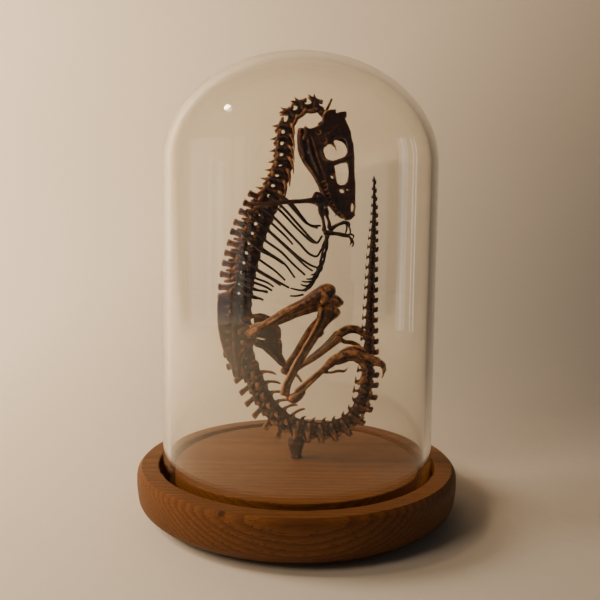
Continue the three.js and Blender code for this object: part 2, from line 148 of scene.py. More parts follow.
def oiled_oak():
    """Oiled oak: ring bands with dark late wood, open pores as short dark streaks, and a satin glow."""
    ring_width = 1.9 * MM
    heart_depth = 46 * MM
    heart_side = 9 * MM
    knot_at = (-27 * MM, -64.2 * MM, 20.2 * MM)
    made = bpy.data.materials.new("oiled_oak")
    made.use_nodes = True
    tree = made.node_tree
    shader = tree.nodes["Principled BSDF"]
    place = add(tree, "ShaderNodeTexCoord").outputs["Object"]
    # Lengths along the grain are squeezed, so that every pattern runs with the board.
    grain = add(
        tree,
        "ShaderNodeMapping",
        {"Vector": place, "Location": (0, -heart_side, heart_depth), "Scale": (0.12, 1, 1)},
    ).outputs[0]
    away = add(tree, "ShaderNodeVectorMath", {0: place, 1: knot_at}, operation="DISTANCE").outputs["Value"]
    near_knot = add(
        tree, "ShaderNodeMapRange", {0: away, 1: 0.6 * MM, 2: 2.4 * MM, 3: 1, 4: 0},
        interpolation_type="SMOOTHSTEP"
    ).outputs[0]
    swirl = add(tree, "ShaderNodeMath", {0: near_knot, 1: 5.0}, operation="MULTIPLY").outputs[0]
    rings = add(
        tree,
        "ShaderNodeTexWave",
        {
            "Vector": grain,
            "Scale": 2 * math.pi / (20 * ring_width),
            "Distortion": 5.0,
            "Detail": 3.0,
            "Detail Scale": 0.35,
            "Detail Roughness": 0.55,
            "Phase Offset": swirl,
        },
        wave_type="RINGS",
        rings_direction="X",
        wave_profile="SAW",
    ).outputs["Fac"]
    late = add(tree, "ShaderNodeMapRange", {0: rings, 1: 0.35, 2: 0.95, 3: 0, 4: 1}).outputs[0]
    fibres = add(
        tree,
        "ShaderNodeTexNoise",
        {
            "Vector": add(tree, "ShaderNodeMapping", {"Vector": place, "Scale": (0.05, 1, 1)}).outputs[0],
            "Scale": 1 / (0.55 * MM),
            "Detail": 4.0,
            "Roughness": 0.65,
        },
    ).outputs[0]
    pores = add(
        tree,
        "ShaderNodeTexNoise",
        {
            "Vector": add(tree, "ShaderNodeMapping", {"Vector": place, "Scale": (0.09, 1, 1)}).outputs[0],
            "Scale": 1 / (0.42 * MM),
            "Detail": 1.0,
        },
    ).outputs[0]
    open_pores = add(tree, "ShaderNodeMapRange", {0: pores, 1: 0.57, 2: 0.68, 3: 0, 4: 1}).outputs[0]
    early = add(tree, "ShaderNodeMapRange", {0: rings, 1: 0.5, 2: 0.0, 3: 0.15, 4: 1}).outputs[0]
    pits = add(tree, "ShaderNodeMath", {0: open_pores, 1: early}, operation="MULTIPLY").outputs[0]
    patches = add(tree, "ShaderNodeTexNoise",
                  {"Vector": grain, "Scale": 1 / (14 * MM), "Detail": 2.0}).outputs[0]
    light = add(
        tree,
        "ShaderNodeMix",
        {0: patches, 6: linear("#7B4D22"), 7: linear("#5F3616")},
        data_type="RGBA",
    ).outputs[2]
    banded = add(
        tree,
        "ShaderNodeMix",
        {0: add(tree, "ShaderNodeMath", {0: late, 1: 0.62}, operation="MULTIPLY").outputs[0], 6: light,
         7: linear("#3C200C")},
        data_type="RGBA",
    ).outputs[2]
    fibre_mix = add(tree, "ShaderNodeMapRange", {0: fibres, 1: 0.32, 2: 0.68, 3: 0.0, 4: 0.6}).outputs[0]
    streaked = add(
        tree, "ShaderNodeMix", {0: fibre_mix, 6: banded, 7: linear("#46280C")}, data_type="RGBA"
    ).outputs[2]
    porous = add(
        tree, "ShaderNodeMix", {0: pits, 6: streaked, 7: linear("#1E0F07")}, data_type="RGBA"
    ).outputs[2]
    knotted = add(
        tree,
        "ShaderNodeMix",
        {0: add(tree, "ShaderNodeMath", {0: near_knot, 1: 0.6}, operation="MULTIPLY").outputs[0], 6: porous,
         7: linear("#1C0D05")},
        data_type="RGBA",
    ).outputs[2]
    tree.links.new(knotted, shader.inputs["Base Color"])
    gloss = add(tree, "ShaderNodeMapRange", {0: fibres, 1: 0.2, 2: 0.8, 3: 0.5, 4: 0.64}).outputs[0]
    tree.links.new(gloss, shader.inputs["Roughness"])
    shader.inputs["IOR"].default_value = 1.5
    shader.inputs["Specular IOR Level"].default_value = 0.25
    relief = add(tree, "ShaderNodeMath", {0: pits, 1: -1.0, 2: fibres}, operation="MULTIPLY_ADD").outputs[0]
    bump = add(tree, "ShaderNodeBump", {"Height": relief, "Strength": 0.35, "Distance": 0.12 * MM}).outputs[0]
    tree.links.new(bump, shader.inputs["Normal"])
    return made


def wooden_base():
    lip = 0.8 * MM
    under = base_low[2]
    hollow_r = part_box("base_felt")[1][0] + 0.3 * MM
    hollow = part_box("base_felt")[1][2] + 0.3 * MM
    shoulder = [
        (BASE_R - 10.5 * MM, under),
        (BASE_R - 4.1 * MM, under + 3 * MM),
        (BASE_R - 1.1 * MM, under + 6.1 * MM),
        (BASE_R - 0.3 * MM, under + 10.1 * MM),
        (BASE_R, under + 14.1 * MM),
        (BASE_R - 0.5 * MM, BASE_TOP - 1.6 * MM),
        (BASE_R - 2 * MM, BASE_TOP),
    ]
    shoulder = smooth(shoulder, 0.8 * MM).tolist()
    shoulder = [(min(r, BASE_R), min(max(z, under), BASE_TOP)) for r, z in shoulder]
    profile = [(0, hollow), (hollow_r, hollow), (hollow_r, under), *shoulder]
    profile += [
        (GROOVE_OUT + lip, BASE_TOP),
        (GROOVE_OUT + 0.25 * lip, BASE_TOP - 0.25 * lip),
        (GROOVE_OUT, BASE_TOP - lip),
        (GROOVE_OUT, GROOVE_FLOOR),
        (GROOVE_IN, GROOVE_FLOOR),
        (GROOVE_IN, BASE_TOP - 0.5 * lip),
        (GROOVE_IN - 0.15 * lip, BASE_TOP - 0.15 * lip),
        (GROOVE_IN - 0.5 * lip, BASE_TOP),
        (PEG_HOLE_R, BASE_TOP),
        (PEG_HOLE_R, PEG_HOLE_FLOOR),
        (0, PEG_HOLE_FLOOR),
    ]
    mesh = turned("base_turned", profile, BASE_SIDES)
    shown("base_turned", mesh, oiled_oak(), "base", ["wooden_base"])


wooden_base()

# ---------------------------------------------------------------------------------------------
# Felt pad: a disc of pressed wool, die cut and glued in the hollow under the base, so that the
# wood doesn't scratch a shelf. It is matt, with loose fibres in all directions.


def pressed_felt():
    """Pressed wool felt: matt and dark, with a fine tangle of fibres and a soft sheen at its edge."""
    made = bpy.data.materials.new("pressed_wool_felt")
    made.use_nodes = True
    tree = made.node_tree
    shader = tree.nodes["Principled BSDF"]
    place = add(tree, "ShaderNodeTexCoord").outputs["Object"]
    tangle = add(
        tree, "ShaderNodeTexNoise", {"Vector": place, "Scale": 1 / (0.5 * MM), "Detail": 5.0,
                                     "Distortion": 1.5}
    ).outputs[0]
    colour = add(
        tree, "ShaderNodeMix", {0: tangle, 6: linear("#1E1B19"), 7: linear("#3A3531")}, data_type="RGBA"
    ).outputs[2]
    tree.links.new(colour, shader.inputs["Base Color"])
    shader.inputs["Roughness"].default_value = 0.95
    shader.inputs["Sheen Weight"].default_value = 0.3
    bump = add(tree, "ShaderNodeBump", {"Height": tangle, "Strength": 0.6, "Distance": 0.2 * MM}).outputs[0]
    tree.links.new(bump, shader.inputs["Normal"])
    return made


def felt_pad():
    felt_low, felt_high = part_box("base_felt")
    edge = 0.3 * MM
    radius, top, bottom = felt_high[0], felt_high[2], felt_low[2]
    profile = [(0, bottom), (radius - edge, bottom), (radius, bottom + edge), (radius, top), (0, top)]
    shown("felt_pad", turned("felt_pad", profile, 96), pressed_felt(), "base", ["base_felt"])


felt_pad()

# ---------------------------------------------------------------------------------------------
# Mounting peg: the stub of the sprue under the skeleton, left on as its foot. It is the same
# cast resin as the bones, stained dark and rubbed back, and is glued into a hole in the base.
# Bones are built in mm, from the top of the base up; X is towards the toes and -Y is the right side.


def tube(path, flat=1.0, sides=10, every=0.6):
    """A closed rod through (x, y, z, radius) points. `flat` is its depth in Y as a share of its width."""
    run = smooth(path, every)
    centre, radius = run[:, :3], np.maximum(run[:, 3], 0.1)
    along = np.gradient(centre, axis=0)
    along /= np.linalg.norm(along, axis=1)[:, None]
    step, shrink, point = 0.6, 0.7, 0.5  # the rounded ends, as shares of the end's radius
    first, last = along[0] * radius[0] * step, along[-1] * radius[-1] * step
    centre = np.vstack([centre[0] - first, centre, centre[-1] + last])
    radius = np.concatenate([[radius[0] * shrink], radius, [radius[-1] * shrink]])
    along = np.vstack([along[0], along, along[-1]])
    side = np.array([0.0, 1.0, 0.0]) if abs(along[0, 1]) < 0.85 else np.array([1.0, 0.0, 0.0])
    angles = 2 * np.pi * np.arange(sides) / sides
    verts = []
    for here, ahead, r in zip(centre, along, radius):
        side = side - ahead * (side @ ahead)
        side /= np.linalg.norm(side)
        other = np.cross(ahead, side)
        verts.append(here + r * (flat * np.cos(angles)[:, None] * side + np.sin(angles)[:, None] * other))
    rings = len(verts)
    tips = [centre[0] - along[0] * radius[0] * point, centre[-1] + along[-1] * radius[-1] * point]
    verts = np.vstack([*verts, tips])
    faces = []
    for i in range(rings - 1):
        for k in range(sides):
            a, b = i * sides + k, i * sides + (k + 1) % sides
            faces.append((a, b, b + sides, a + sides))
    first, last, end = rings * sides, rings * sides + 1, (rings - 1) * sides
    for k in range(sides):
        faces.append((first, (k + 1) % sides, k))
        faces.append((last, end + k, end + (k + 1) % sides))
    return verts, faces


def inside(points, loop):
    """Which of the [x, z] points lie inside a closed loop."""
    a = np.array(loop)
    b = np.roll(a, -1, axis=0)
    x, z = points[:, :1], points[:, 1:]
    rising = (a[:, 1] > z) != (b[:, 1] > z)
    reach = (b[:, 0] - a[:, 0]) * (z - a[:, 1]) / (b[:, 1] - a[:, 1] + 1e-9) + a[:, 0]
    return (rising & (x < reach)).sum(axis=1) % 2 == 1


def slab(outline, y, thickness, holes=(), grid=1.5):
    """A flat bone: an [x, z] outline with holes, laid on the surface y(x, z) and given a thickness."""
    loops = [outline, *holes]
    points, edges = [], []
    for loop in loops:
        first = len(points)
        points += [tuple(p) for p in loop]
        edges += [(first + k, first + (k + 1) % len(loop)) for k in range(len(loop))]
    low, high = np.min(outline, axis=0), np.max(outline, axis=0)
    mesh_x, mesh_z = np.meshgrid(np.arange(low[0], high[0], grid), np.arange(low[1], high[1], grid))
    fill = np.stack([mesh_x.ravel(), mesh_z.ravel()], axis=1) + grid / 2
    points += [tuple(p) for p in fill[inside(fill, outline)]]
    flat, _, tris, *_ = delaunay_2d_cdt([Vector(p) for p in points], edges, [], 0, 1e-5)
    flat = np.array([tuple(p) for p in flat])
    tris = np.array([tuple(t) for t in tris])
    middle = flat[tris].mean(axis=1)
    keep = inside(middle, outline)
    for hole in holes:
        keep &= ~inside(middle, hole)
    tris = tris[keep]
    depth = np.array([y(*p) for p in flat]) if callable(y) else np.full(len(flat), float(y))
    near = np.stack([flat[:, 0], depth - thickness / 2, flat[:, 1]], axis=1)
    far = near + [0, thickness, 0]
    count = len(flat)
    one_way = {(t[k], t[(k + 1) % 3]) for t in tris for k in range(3)}
    rim = [(a, b, b + count, a + count) for a, b in one_way if (b, a) not in one_way]
    faces = [tuple(t) for t in tris] + [tuple(t[::-1] + count) for t in tris] + [r[::-1] for r in rim]
    return np.vstack([near, far]), faces


def oval(x, z, half_x, half_z, turn=0, count=18):
    """An oval hole as [x, z] points, turned by some degrees."""
    c, s = math.cos(math.radians(turn)), math.sin(math.radians(turn))
    ring = [(half_x * math.cos(a), half_z * math.sin(a)) for a in np.arange(count) * 2 * math.pi / count]
    return [(x + c * u - s * v, z + s * u + c * v) for u, v in ring]


def as_mesh(name, parts):
    """One mesh of several closed (verts, faces) parts, with every face turned outwards."""
    work = bmesh.new()
    for verts, faces in parts:
        made = [work.verts.new(v) for v in verts]
        for face in faces:
            work.faces.new([made[k] for k in face])
    work.normal_update()
    bmesh.ops.recalc_face_normals(work, faces=work.faces)
    mesh = bpy.data.meshes.new(name)
    work.to_mesh(mesh)
    work.free()
    return mesh


def fused(name, parts, voxel=0.3, rounds=2, rough=0.12, seed=1):
    """Grows the parts together into one cast skin, softened by some rounds, in mm. `rough` is its relief."""
    block = bpy.data.objects.new(name, as_mesh(name, parts))
    bpy.context.collection.objects.link(block)
    remesh = block.modifiers.new("skin", "REMESH")
    remesh.mode = "VOXEL"
    remesh.voxel_size = voxel
    soften = block.modifiers.new("soften", "SMOOTH")
    soften.factor = 0.5
    soften.iterations = rounds
    grown = bpy.data.meshes.new_from_object(block.evaluated_get(bpy.context.evaluated_depsgraph_get()))
    bpy.data.objects.remove(block)
    shift = Vector((seed * 17.3, seed * 5.1, 0))
    broad, fine, fine_share = 0.45, 1.3, 0.6  # lumps per mm, and how much of the fine ones
    lumpy = [
        noise.noise(v.co * broad + shift) + fine_share * noise.noise(v.co * fine + shift)
        for v in grown.vertices
    ]
    places = [v.co + v.normal * rough * lump for v, lump in zip(grown.vertices, lumpy)]
    grown.vertices.foreach_set("co", np.ravel(places))
    grown.name = name
    return grown


def mark_wear_and_shade(mesh, wear_and_shade, reach=9, depth=0.2 * MM):
    """Stores how far each point stands proud of its surroundings, from 0 in a hollow (painted shade) to the
    top value on a ridge (rubbed paint).
    """
    count = len(mesh.vertices)
    place = np.empty(count * 3, np.float32)
    mesh.vertices.foreach_get("co", place)
    place = place.reshape(-1, 3)
    facing = np.empty(count * 3, np.float32)
    mesh.vertex_normals.foreach_get("vector", facing)
    facing = facing.reshape(-1, 3)
    ends = np.empty(len(mesh.edges) * 2, np.int32)
    mesh.edges.foreach_get("vertices", ends)
    a, b = ends.reshape(-1, 2).T
    degree = np.maximum(np.bincount(a, minlength=count) + np.bincount(b, minlength=count), 1)

    def around(values):
        return (np.bincount(a, values[b], count) + np.bincount(b, values[a], count)) / degree

    base = place.astype(float)
    for _ in range(reach):
        base = np.stack([around(base[:, k]) for k in range(3)], axis=1)
    proud = ((place - base) * facing).sum(axis=1)
    proud = around(around(proud))
    # This mark is partly real wear and partly painted shade: it lightens the rubbed ridges and leaves the
    # hollows dark, where shade falls.
    worn_and_shaded = (wear_and_shade * np.clip(0.5 + proud / (2 * depth), 0, 1)).astype(np.float32)
    mesh.attributes.new("worn_and_shaded", "FLOAT", "POINT").data.foreach_set("value", worn_and_shaded)


def stained_resin_with_painted_shade():
    """Cast resin under umber stain, rubbed back: dark in the hollows from the stain and from painted shade,
    worn to orange brown on the ridges.
    """
    made = bpy.data.materials.new("stained_cast_resin_with_painted_shade")
    made.use_nodes = True
    tree = made.node_tree
    shader = tree.nodes["Principled BSDF"]
    place = add(tree, "ShaderNodeTexCoord").outputs["Object"]
    # The bones' mark: high on the rubbed ridges, low in the hollows, where it also paints shade.
    worn_and_shaded = add(tree, "ShaderNodeAttribute", attribute_name="worn_and_shaded").outputs["Fac"]
    blotches = add(
        tree, "ShaderNodeTexNoise", {"Vector": place, "Scale": 1 / (3.4 * MM), "Detail": 4.0,
                                     "Roughness": 0.65}
    ).outputs[0]
    flecks = add(
        tree, "ShaderNodeTexNoise", {"Vector": place, "Scale": 1 / (0.8 * MM), "Detail": 3.0,
                                     "Roughness": 0.7}
    ).outputs[0]
    uneven = add(tree, "ShaderNodeMath", {0: blotches, 1: 0.8, 2: worn_and_shaded}, operation="MULTIPLY_ADD").outputs[0]
    uneven = add(tree, "ShaderNodeMath", {0: flecks, 1: 0.45, 2: uneven}, operation="MULTIPLY_ADD").outputs[0]
    # Low values give the dark stain, which in the hollows is also painted shade.
    stain_and_shade = add(tree, "ShaderNodeMapRange", {0: uneven, 1: 0.88, 2: 1.38, 3: 0, 4: 1}).outputs[0]
    rubbed = add(
        tree, "ShaderNodeMapRange", {0: uneven, 1: 1.22, 2: 1.62, 3: 0, 4: 1}, interpolation_type="SMOOTHSTEP"
    ).outputs[0]
    dark = add(
        tree, "ShaderNodeMix", {0: stain_and_shade, 6: linear("#100806"), 7: linear("#4B2612")}, data_type="RGBA"
    ).outputs[2]
    colour = add(tree, "ShaderNodeMix", {0: rubbed, 6: dark, 7: linear("#A26C3C")},
                 data_type="RGBA").outputs[2]
    tree.links.new(colour, shader.inputs["Base Color"])
    gloss = add(tree, "ShaderNodeMapRange", {0: flecks, 1: 0.3, 2: 0.7, 3: 0.34, 4: 0.52}).outputs[0]
    tree.links.new(gloss, shader.inputs["Roughness"])
    shader.inputs["IOR"].default_value = 1.5
    shader.inputs["Coat Weight"].default_value = 0.15
    shader.inputs["Coat Roughness"].default_value = 0.25
    bump = add(tree, "ShaderNodeBump", {"Height": flecks, "Strength": 0.35, "Distance": 0.15 * MM}).outputs[0]
    tree.links.new(bump, shader.inputs["Normal"])
    return made


BONE = stained_resin_with_painted_shade()


def bone(name, mesh, nodes, wear_and_shade=0.8):
    """Brings a bone from mm above the base to its place, marks its worn ridges and its painted shade in the
    hollows, and shows it.
    """
    mesh.transform(Matrix.Translation((0, 0, BASE_TOP)) @ Matrix.Scale(MM, 4))
    for face in mesh.polygons:
        face.use_smooth = True
    mark_wear_and_shade(mesh, wear_and_shade)
    return shown(name, mesh, BONE, "base", nodes)


def cast(name, parts, wear_and_shade=0.8, **how):
    """One bone of several closed parts, cast as the piece that stands for the node of its name."""
    bone(f"{name}_cast", fused(name, parts, **how), [name], wear_and_shade)


def mounting_peg():
    stub = [(0, 0, -7.2, 2.3), (0, 0, 0, 2.35), (-0.3, 0, 2.5, 2.5), (-0.5, 0, 5, 3.3), (-0.4, 0, 7.4, 4.2)]
    bone("sprue_peg", fused("sprue_peg", [tube(stub, sides=16)], rough=0.25), ["mounting_peg"])


mounting_peg()

# ---------------------------------------------------------------------------------------------
# Backbone: 63 vertebrae of the same resin, cast in one curl from the neck round to the tail tip.
# Five modelled vertebrae (neck, back, tail root, bend, whip) are repeated along it and sized as they go.
BACKBONE = [
    (8.2, 156.6), (3, 156.8), (-3.2, 152.5), (-5.2, 142), (-5.8, 131), (-8.6, 121.7), (-13.3, 111),
    (-17.7, 100), (-21, 88.3), (-23.2, 76.5), (-23.8, 64.5), (-23.3, 54), (-21.6, 45.3), (-17.6, 34.8),
    (-12, 24.5), (-3.3, 17), (6.7, 14.4), (16.8, 15), (24.4, 19.5), (28.6, 27), (30.5, 38), (31.3, 56),
    (31.7, 75), (32.2, 94), (32.8, 112), (32.6, 126),
]
# Each stretch: how many vertebrae, their pitch, which model they repeat, and the first and the last
# one's size against that model as (length, width, height).
STRETCHES = {
    "neck_front": (5, 5.0, "neck", (0.98, 0.8, 0.8), (0.98, 0.95, 1.0)),
    "neck_rear": (5, 5.2, "neck", (1.0, 1.0, 1.0), (1.0, 1.15, 1.25)),
    "back_front": (4, 4.5, "back", (1.0, 0.92, 0.92), (1.0, 1.0, 1.0)),
    "back_middle": (4, 4.5, "back", (1.0, 1.0, 1.0), (1.0, 1.0, 1.0)),
    "back_rear": (4, 4.5, "back", (1.0, 1.0, 1.0), (1.0, 1.0, 0.97)),
    "hip_vertebrae": (5, 4.8, "back", (1.05, 0.62, 0.9), (1.05, 0.62, 0.86)),
    "tail_root": (6, 5.4, "tail", (1.0, 1.0, 1.0), (1.0, 0.94, 0.97)),
    "tail_bend": (7, 5.4, "bend", (0.98, 0.92, 0.93), (0.98, 0.66, 0.84)),
    "tail_rise": (7, 5.0, "whip", (1.0, 1.2, 1.0), (1.0, 0.78, 0.66)),
    "tail_upper": (8, 4.6, "whip", (0.93, 0.72, 0.62), (0.93, 0.52, 0.44)),
    "tail_tip": (8, 3.7, "whip", (0.75, 0.47, 0.4), (0.75, 0.22, 0.16)),
}
BOTH = (-1, 1)


def neck_vertebra():
    """A waisted body, a ring over the nerve, hooked joints, a pointed spine and trailing neck ribs."""
    arch = [
        (-2.6, 0), (2.6, 0), (2.5, 2.0), (1.75, 2.7), (1.7, 3.5), (2.6, 4.3), (2.4, 5.4), (-0.2, 5.8),
        (-2.4, 5.2), (-2.6, 4.3), (-1.75, 3.5), (-1.75, 2.7), (-2.5, 2.0),
    ]
    parts = [
        tube([(-2.6, 0, 0, 2.4), (0, 0, 0, 1.8), (2.6, 0, 0, 2.4)], flat=0.85),
        slab(arch, 0, 3.4),
        tube([(0.2, 0, 4.4, 1.3), (0.7, 0, 6.4, 0.8), (1.2, 0, 8.4, 0.35)], flat=0.7),
    ]
    for side in BOTH:
        parts += [
            tube([(-0.4, side * 1.6, 0.6, 1.2), (-0.3, side * 2.0, 2.8, 1.0), (-0.2, side * 1.7, 4.6, 1.1)]),
            tube([(-0.4, side * 1.8, 4.2, 0.9), (-2.8, side * 2.6, 4.4, 0.8)]),
            tube([(0.4, side * 1.5, 4.6, 1.0), (2.4, side * 2.4, 5.6, 0.85), (3.6, side * 2.9, 6.6, 0.4)]),
            tube([(-1.4, side * 1.6, 0.4, 0.8), (-0.4, side * 3.2, -1.0, 0.75), (2.2, side * 3.2, -2.0, 0.5),
                  (5.2, side * 3.0, -2.5, 0.35)]),
        ]
    return parts


def back_vertebra():
    """A stout body, pierced side arches, side processes swept back, and a tall squared spine."""
    spine = [
        (-1.9, 5), (2.1, 5), (2.0, 7.8), (1.45, 9.4), (1.4, 11.4), (1.5, 12.8), (1.3, 13.4), (-1.2, 13.5),
        (-1.4, 12.9), (-1.25, 11.4), (-1.3, 9.6), (-1.8, 8.2),
    ]
    arch = [
        (-2.3, 0), (2.3, 0), (2.3, 2.6), (1.5, 3.3), (1.45, 4.1), (2.3, 4.9), (2.3, 7), (0, 7.6),
        (-2.2, 7), (-2.3, 4.9), (-1.5, 4.1), (-1.5, 3.3), (-2.3, 2.6),
    ]
    parts = [
        tube([(-2.3, 0, 0, 3.1), (0, 0, 0, 2.6), (2.3, 0, 0, 3.1)], flat=0.85),
        slab(spine, 0, 1.4),
        slab(arch, 0, 3.6),
        tube([(-0.8, 0, 12.6, 0.9), (1.1, 0, 12.6, 0.9)], flat=0.9),
    ]
    for side in BOTH:
        parts += [
            tube([(-0.2, side * 2.0, 1.2, 1.2), (-0.1, side * 2.2, 3.6, 1.1), (-0.2, side * 1.9, 5.6, 1.2)]),
            tube([(-0.6, side * 1.6, 5.4, 1.1), (-2.8, side * 2.2, 5.4, 0.85)]),
            tube([(0.4, side * 1.4, 6.0, 1.2), (2.2, side * 2.3, 7.6, 0.9), (2.7, side * 2.7, 10.2, 0.7)]),
            tube([(-0.6, side * 1.8, 5.0, 1.0), (0.2, side * 4.2, 6.0, 0.85), (0.7, side * 5.6, 6.6, 0.95)]),
            tube([(-1.6, side * 2.2, 1.4, 0.6), (-1.5, side * 3.2, 2.0, 0.7)]),
        ]
    return parts


def tail_vertebra():
    """A stout body with leaf-shaped side processes, a squared spine leaning back, and a chevron below."""
    spine = [(-1.0, 2.5), (1.4, 2.5), (1.9, 6.5), (3.0, 9.6), (2.6, 10.4), (0.5, 10.6), (0.0, 9.8),
             (-0.5, 6.5)]
    parts = [
        tube([(-2.7, 0, 0, 3.4), (0, 0, 0, 2.6), (2.7, 0, 0, 3.4)], flat=0.9),
        slab(spine, 0, 1.2),
        tube([(0.8, 0, 9.7, 0.75), (2.4, 0, 9.7, 0.75)], flat=0.9),
        tube([(-1.8, 0, 4.2, 1.2), (1.9, 0, 4.6, 1.2)], flat=1.3),
        tube([(1.6, 0, -3.4, 0.8), (2.3, 0, -5.2, 0.7), (3.6, 0, -7.4, 0.65), (5.0, 0, -8.6, 0.4)], flat=0.8),
    ]
    for side in BOTH:
        parts += [
            tube([(-0.9, side * 1.9, 1.6, 1.0), (-0.8, side * 1.9, 3.2, 0.8), (-0.4, side * 1.6, 4.4, 1.0)]),
            tube([(-0.6, side * 1.5, 4.2, 1.0), (-3.3, side * 2.1, 4.4, 0.75)]),
            tube([(0.6, side * 1.2, 4.6, 1.0), (2.8, side * 1.9, 5.2, 0.8), (3.4, side * 2.1, 5.5, 0.5)]),
            tube([(0.0, side * 2.4, 0.6, 1.1), (0.4, side * 4.8, 0.8, 0.95), (0.9, side * 6.6, 0.6, 0.7),
                  (1.3, side * 7.4, 0.4, 0.4)], flat=0.6),
            tube([(2.3, side * 1.6, -2.4, 0.7), (2.0, side * 0.9, -4.0, 0.6), (2.3, 0, -5.2, 0.6)]),
        ]
    return parts


def bend_vertebra():
    """A stout body with a short broad spine between two ridged leaves, and the stub of a chevron."""
    spine = [(-1.2, 2.5), (1.6, 2.5), (1.9, 5.6), (2.6, 7.6), (2.2, 8.4), (0.2, 8.5), (-0.4, 7.6),
             (-0.8, 5.6)]
    parts = [
        tube([(-2.7, 0, 0, 3.3), (0, 0, 0, 2.6), (2.7, 0, 0, 3.3)], flat=0.9),
        slab(spine, 0, 1.3),
        tube([(0.5, 0, 7.7, 0.8), (2.0, 0, 7.7, 0.8)], flat=0.9),
        tube([(-1.8, 0, 4.2, 1.2), (1.9, 0, 4.6, 1.2)], flat=1.3),
        tube([(1.7, 0, -3.2, 0.8), (2.1, 0, -4.1, 0.6), (3.0, 0, -4.8, 0.35)], flat=0.8),
    ]
    for side in BOTH:
        parts += [
            tube([(-0.9, side * 1.9, 1.6, 1.0), (-0.8, side * 1.9, 3.2, 0.8), (-0.4, side * 1.6, 4.4, 1.0)]),
            tube([(-0.6, side * 1.5, 4.2, 1.0), (-3.3, side * 2.1, 4.4, 0.75)]),
            tube([(0.6, side * 1.2, 4.6, 1.0), (2.8, side * 1.9, 5.2, 0.8), (3.4, side * 2.1, 5.5, 0.5)]),
            tube([(-0.2, side * 2.4, 0.8, 1.2), (0.2, side * 3.6, 2.2, 1.2), (0.7, side * 4.6, 4.2, 1.0),
                  (1.1, side * 5.1, 6.2, 0.6)], flat=0.6),
            tube([(0.2, side * 2.6, -1.6, 0.8), (0.6, side * 3.2, 0.4, 0.7), (0.9, side * 3.9, 2.4, 0.6)]),
        ]
    return parts


def whip_vertebra():
    """A slim body with a low squared spine, small joints, and a short skid-shaped chevron."""
    spine = [(-1.1, 1.5), (1.2, 1.5), (1.5, 4.6), (2.1, 6.4), (1.7, 7.1), (-0.2, 7.2), (-0.7, 6.4),
             (-0.8, 4.6)]
    parts = [
        tube([(-2.5, 0, 0, 2.5), (0, 0, 0, 1.9), (2.5, 0, 0, 2.5)], flat=0.85),
        slab(spine, 0, 1.1),
        tube([(-1.5, 0, 3.0, 0.9), (1.6, 0, 3.2, 0.9)], flat=1.3),
        tube([(1.6, 0, -2.4, 0.7), (1.6, 0, -3.4, 0.6), (0.4, 0, -4.2, 0.5), (3.2, 0, -4.3, 0.45)], flat=0.8),
    ]
    for side in BOTH:
        parts += [
            tube([(-0.7, side * 1.3, 1.2, 0.8), (-0.3, side * 1.3, 3.0, 0.8)]),
            tube([(-0.5, side * 1.1, 3.0, 0.8), (-3.0, side * 1.6, 3.2, 0.6)]),
            tube([(0.6, side * 1.0, 3.2, 0.8), (2.7, side * 1.5, 3.9, 0.6)]),
            tube([(0.0, side * 1.8, 0.3, 0.8), (0.5, side * 3.2, 0.3, 0.5)], flat=0.6),
        ]
    return parts


VERTEBRAE = {
    kind: bpy.data.objects.new(
        f"{kind}_model", fused(f"{kind}_model", parts, voxel=voxel, rough=0.16, seed=seed)
    )
    for seed, (kind, parts, voxel) in enumerate(
        [
            ("neck", neck_vertebra(), 0.32),
            ("back", back_vertebra(), 0.36),
            ("tail", tail_vertebra(), 0.36),
            ("bend", bend_vertebra(), 0.36),
            ("whip", whip_vertebra(), 0.32),
        ]
    )
}


def opened_tree(name, inputs):
    """A tree that takes and gives a geometry, with more inputs as name: kind, and what those inputs give."""
    tree = bpy.data.node_groups.new(name, "GeometryNodeTree")
    for title, kind in {"Geometry": "Geometry", **inputs, "Material": "Material"}.items():
        tree.interface.new_socket(title, in_out="INPUT", socket_type="NodeSocket" + kind)
    tree.interface.new_socket("Geometry", in_out="OUTPUT", socket_type="NodeSocketGeometry")
    return tree, add(tree, "NodeGroupInput").outputs


def closed_tree(tree, shape, material):
    """Ends a geometry tree with real, dressed geometry."""
    real = add(tree, "GeometryNodeRealizeInstances", {0: shape}).outputs[0]
    dressed = add(tree, "GeometryNodeSetMaterial", {0: real, 2: material}).outputs[0]
    add(tree, "NodeGroupOutput", {0: dressed})
    return tree


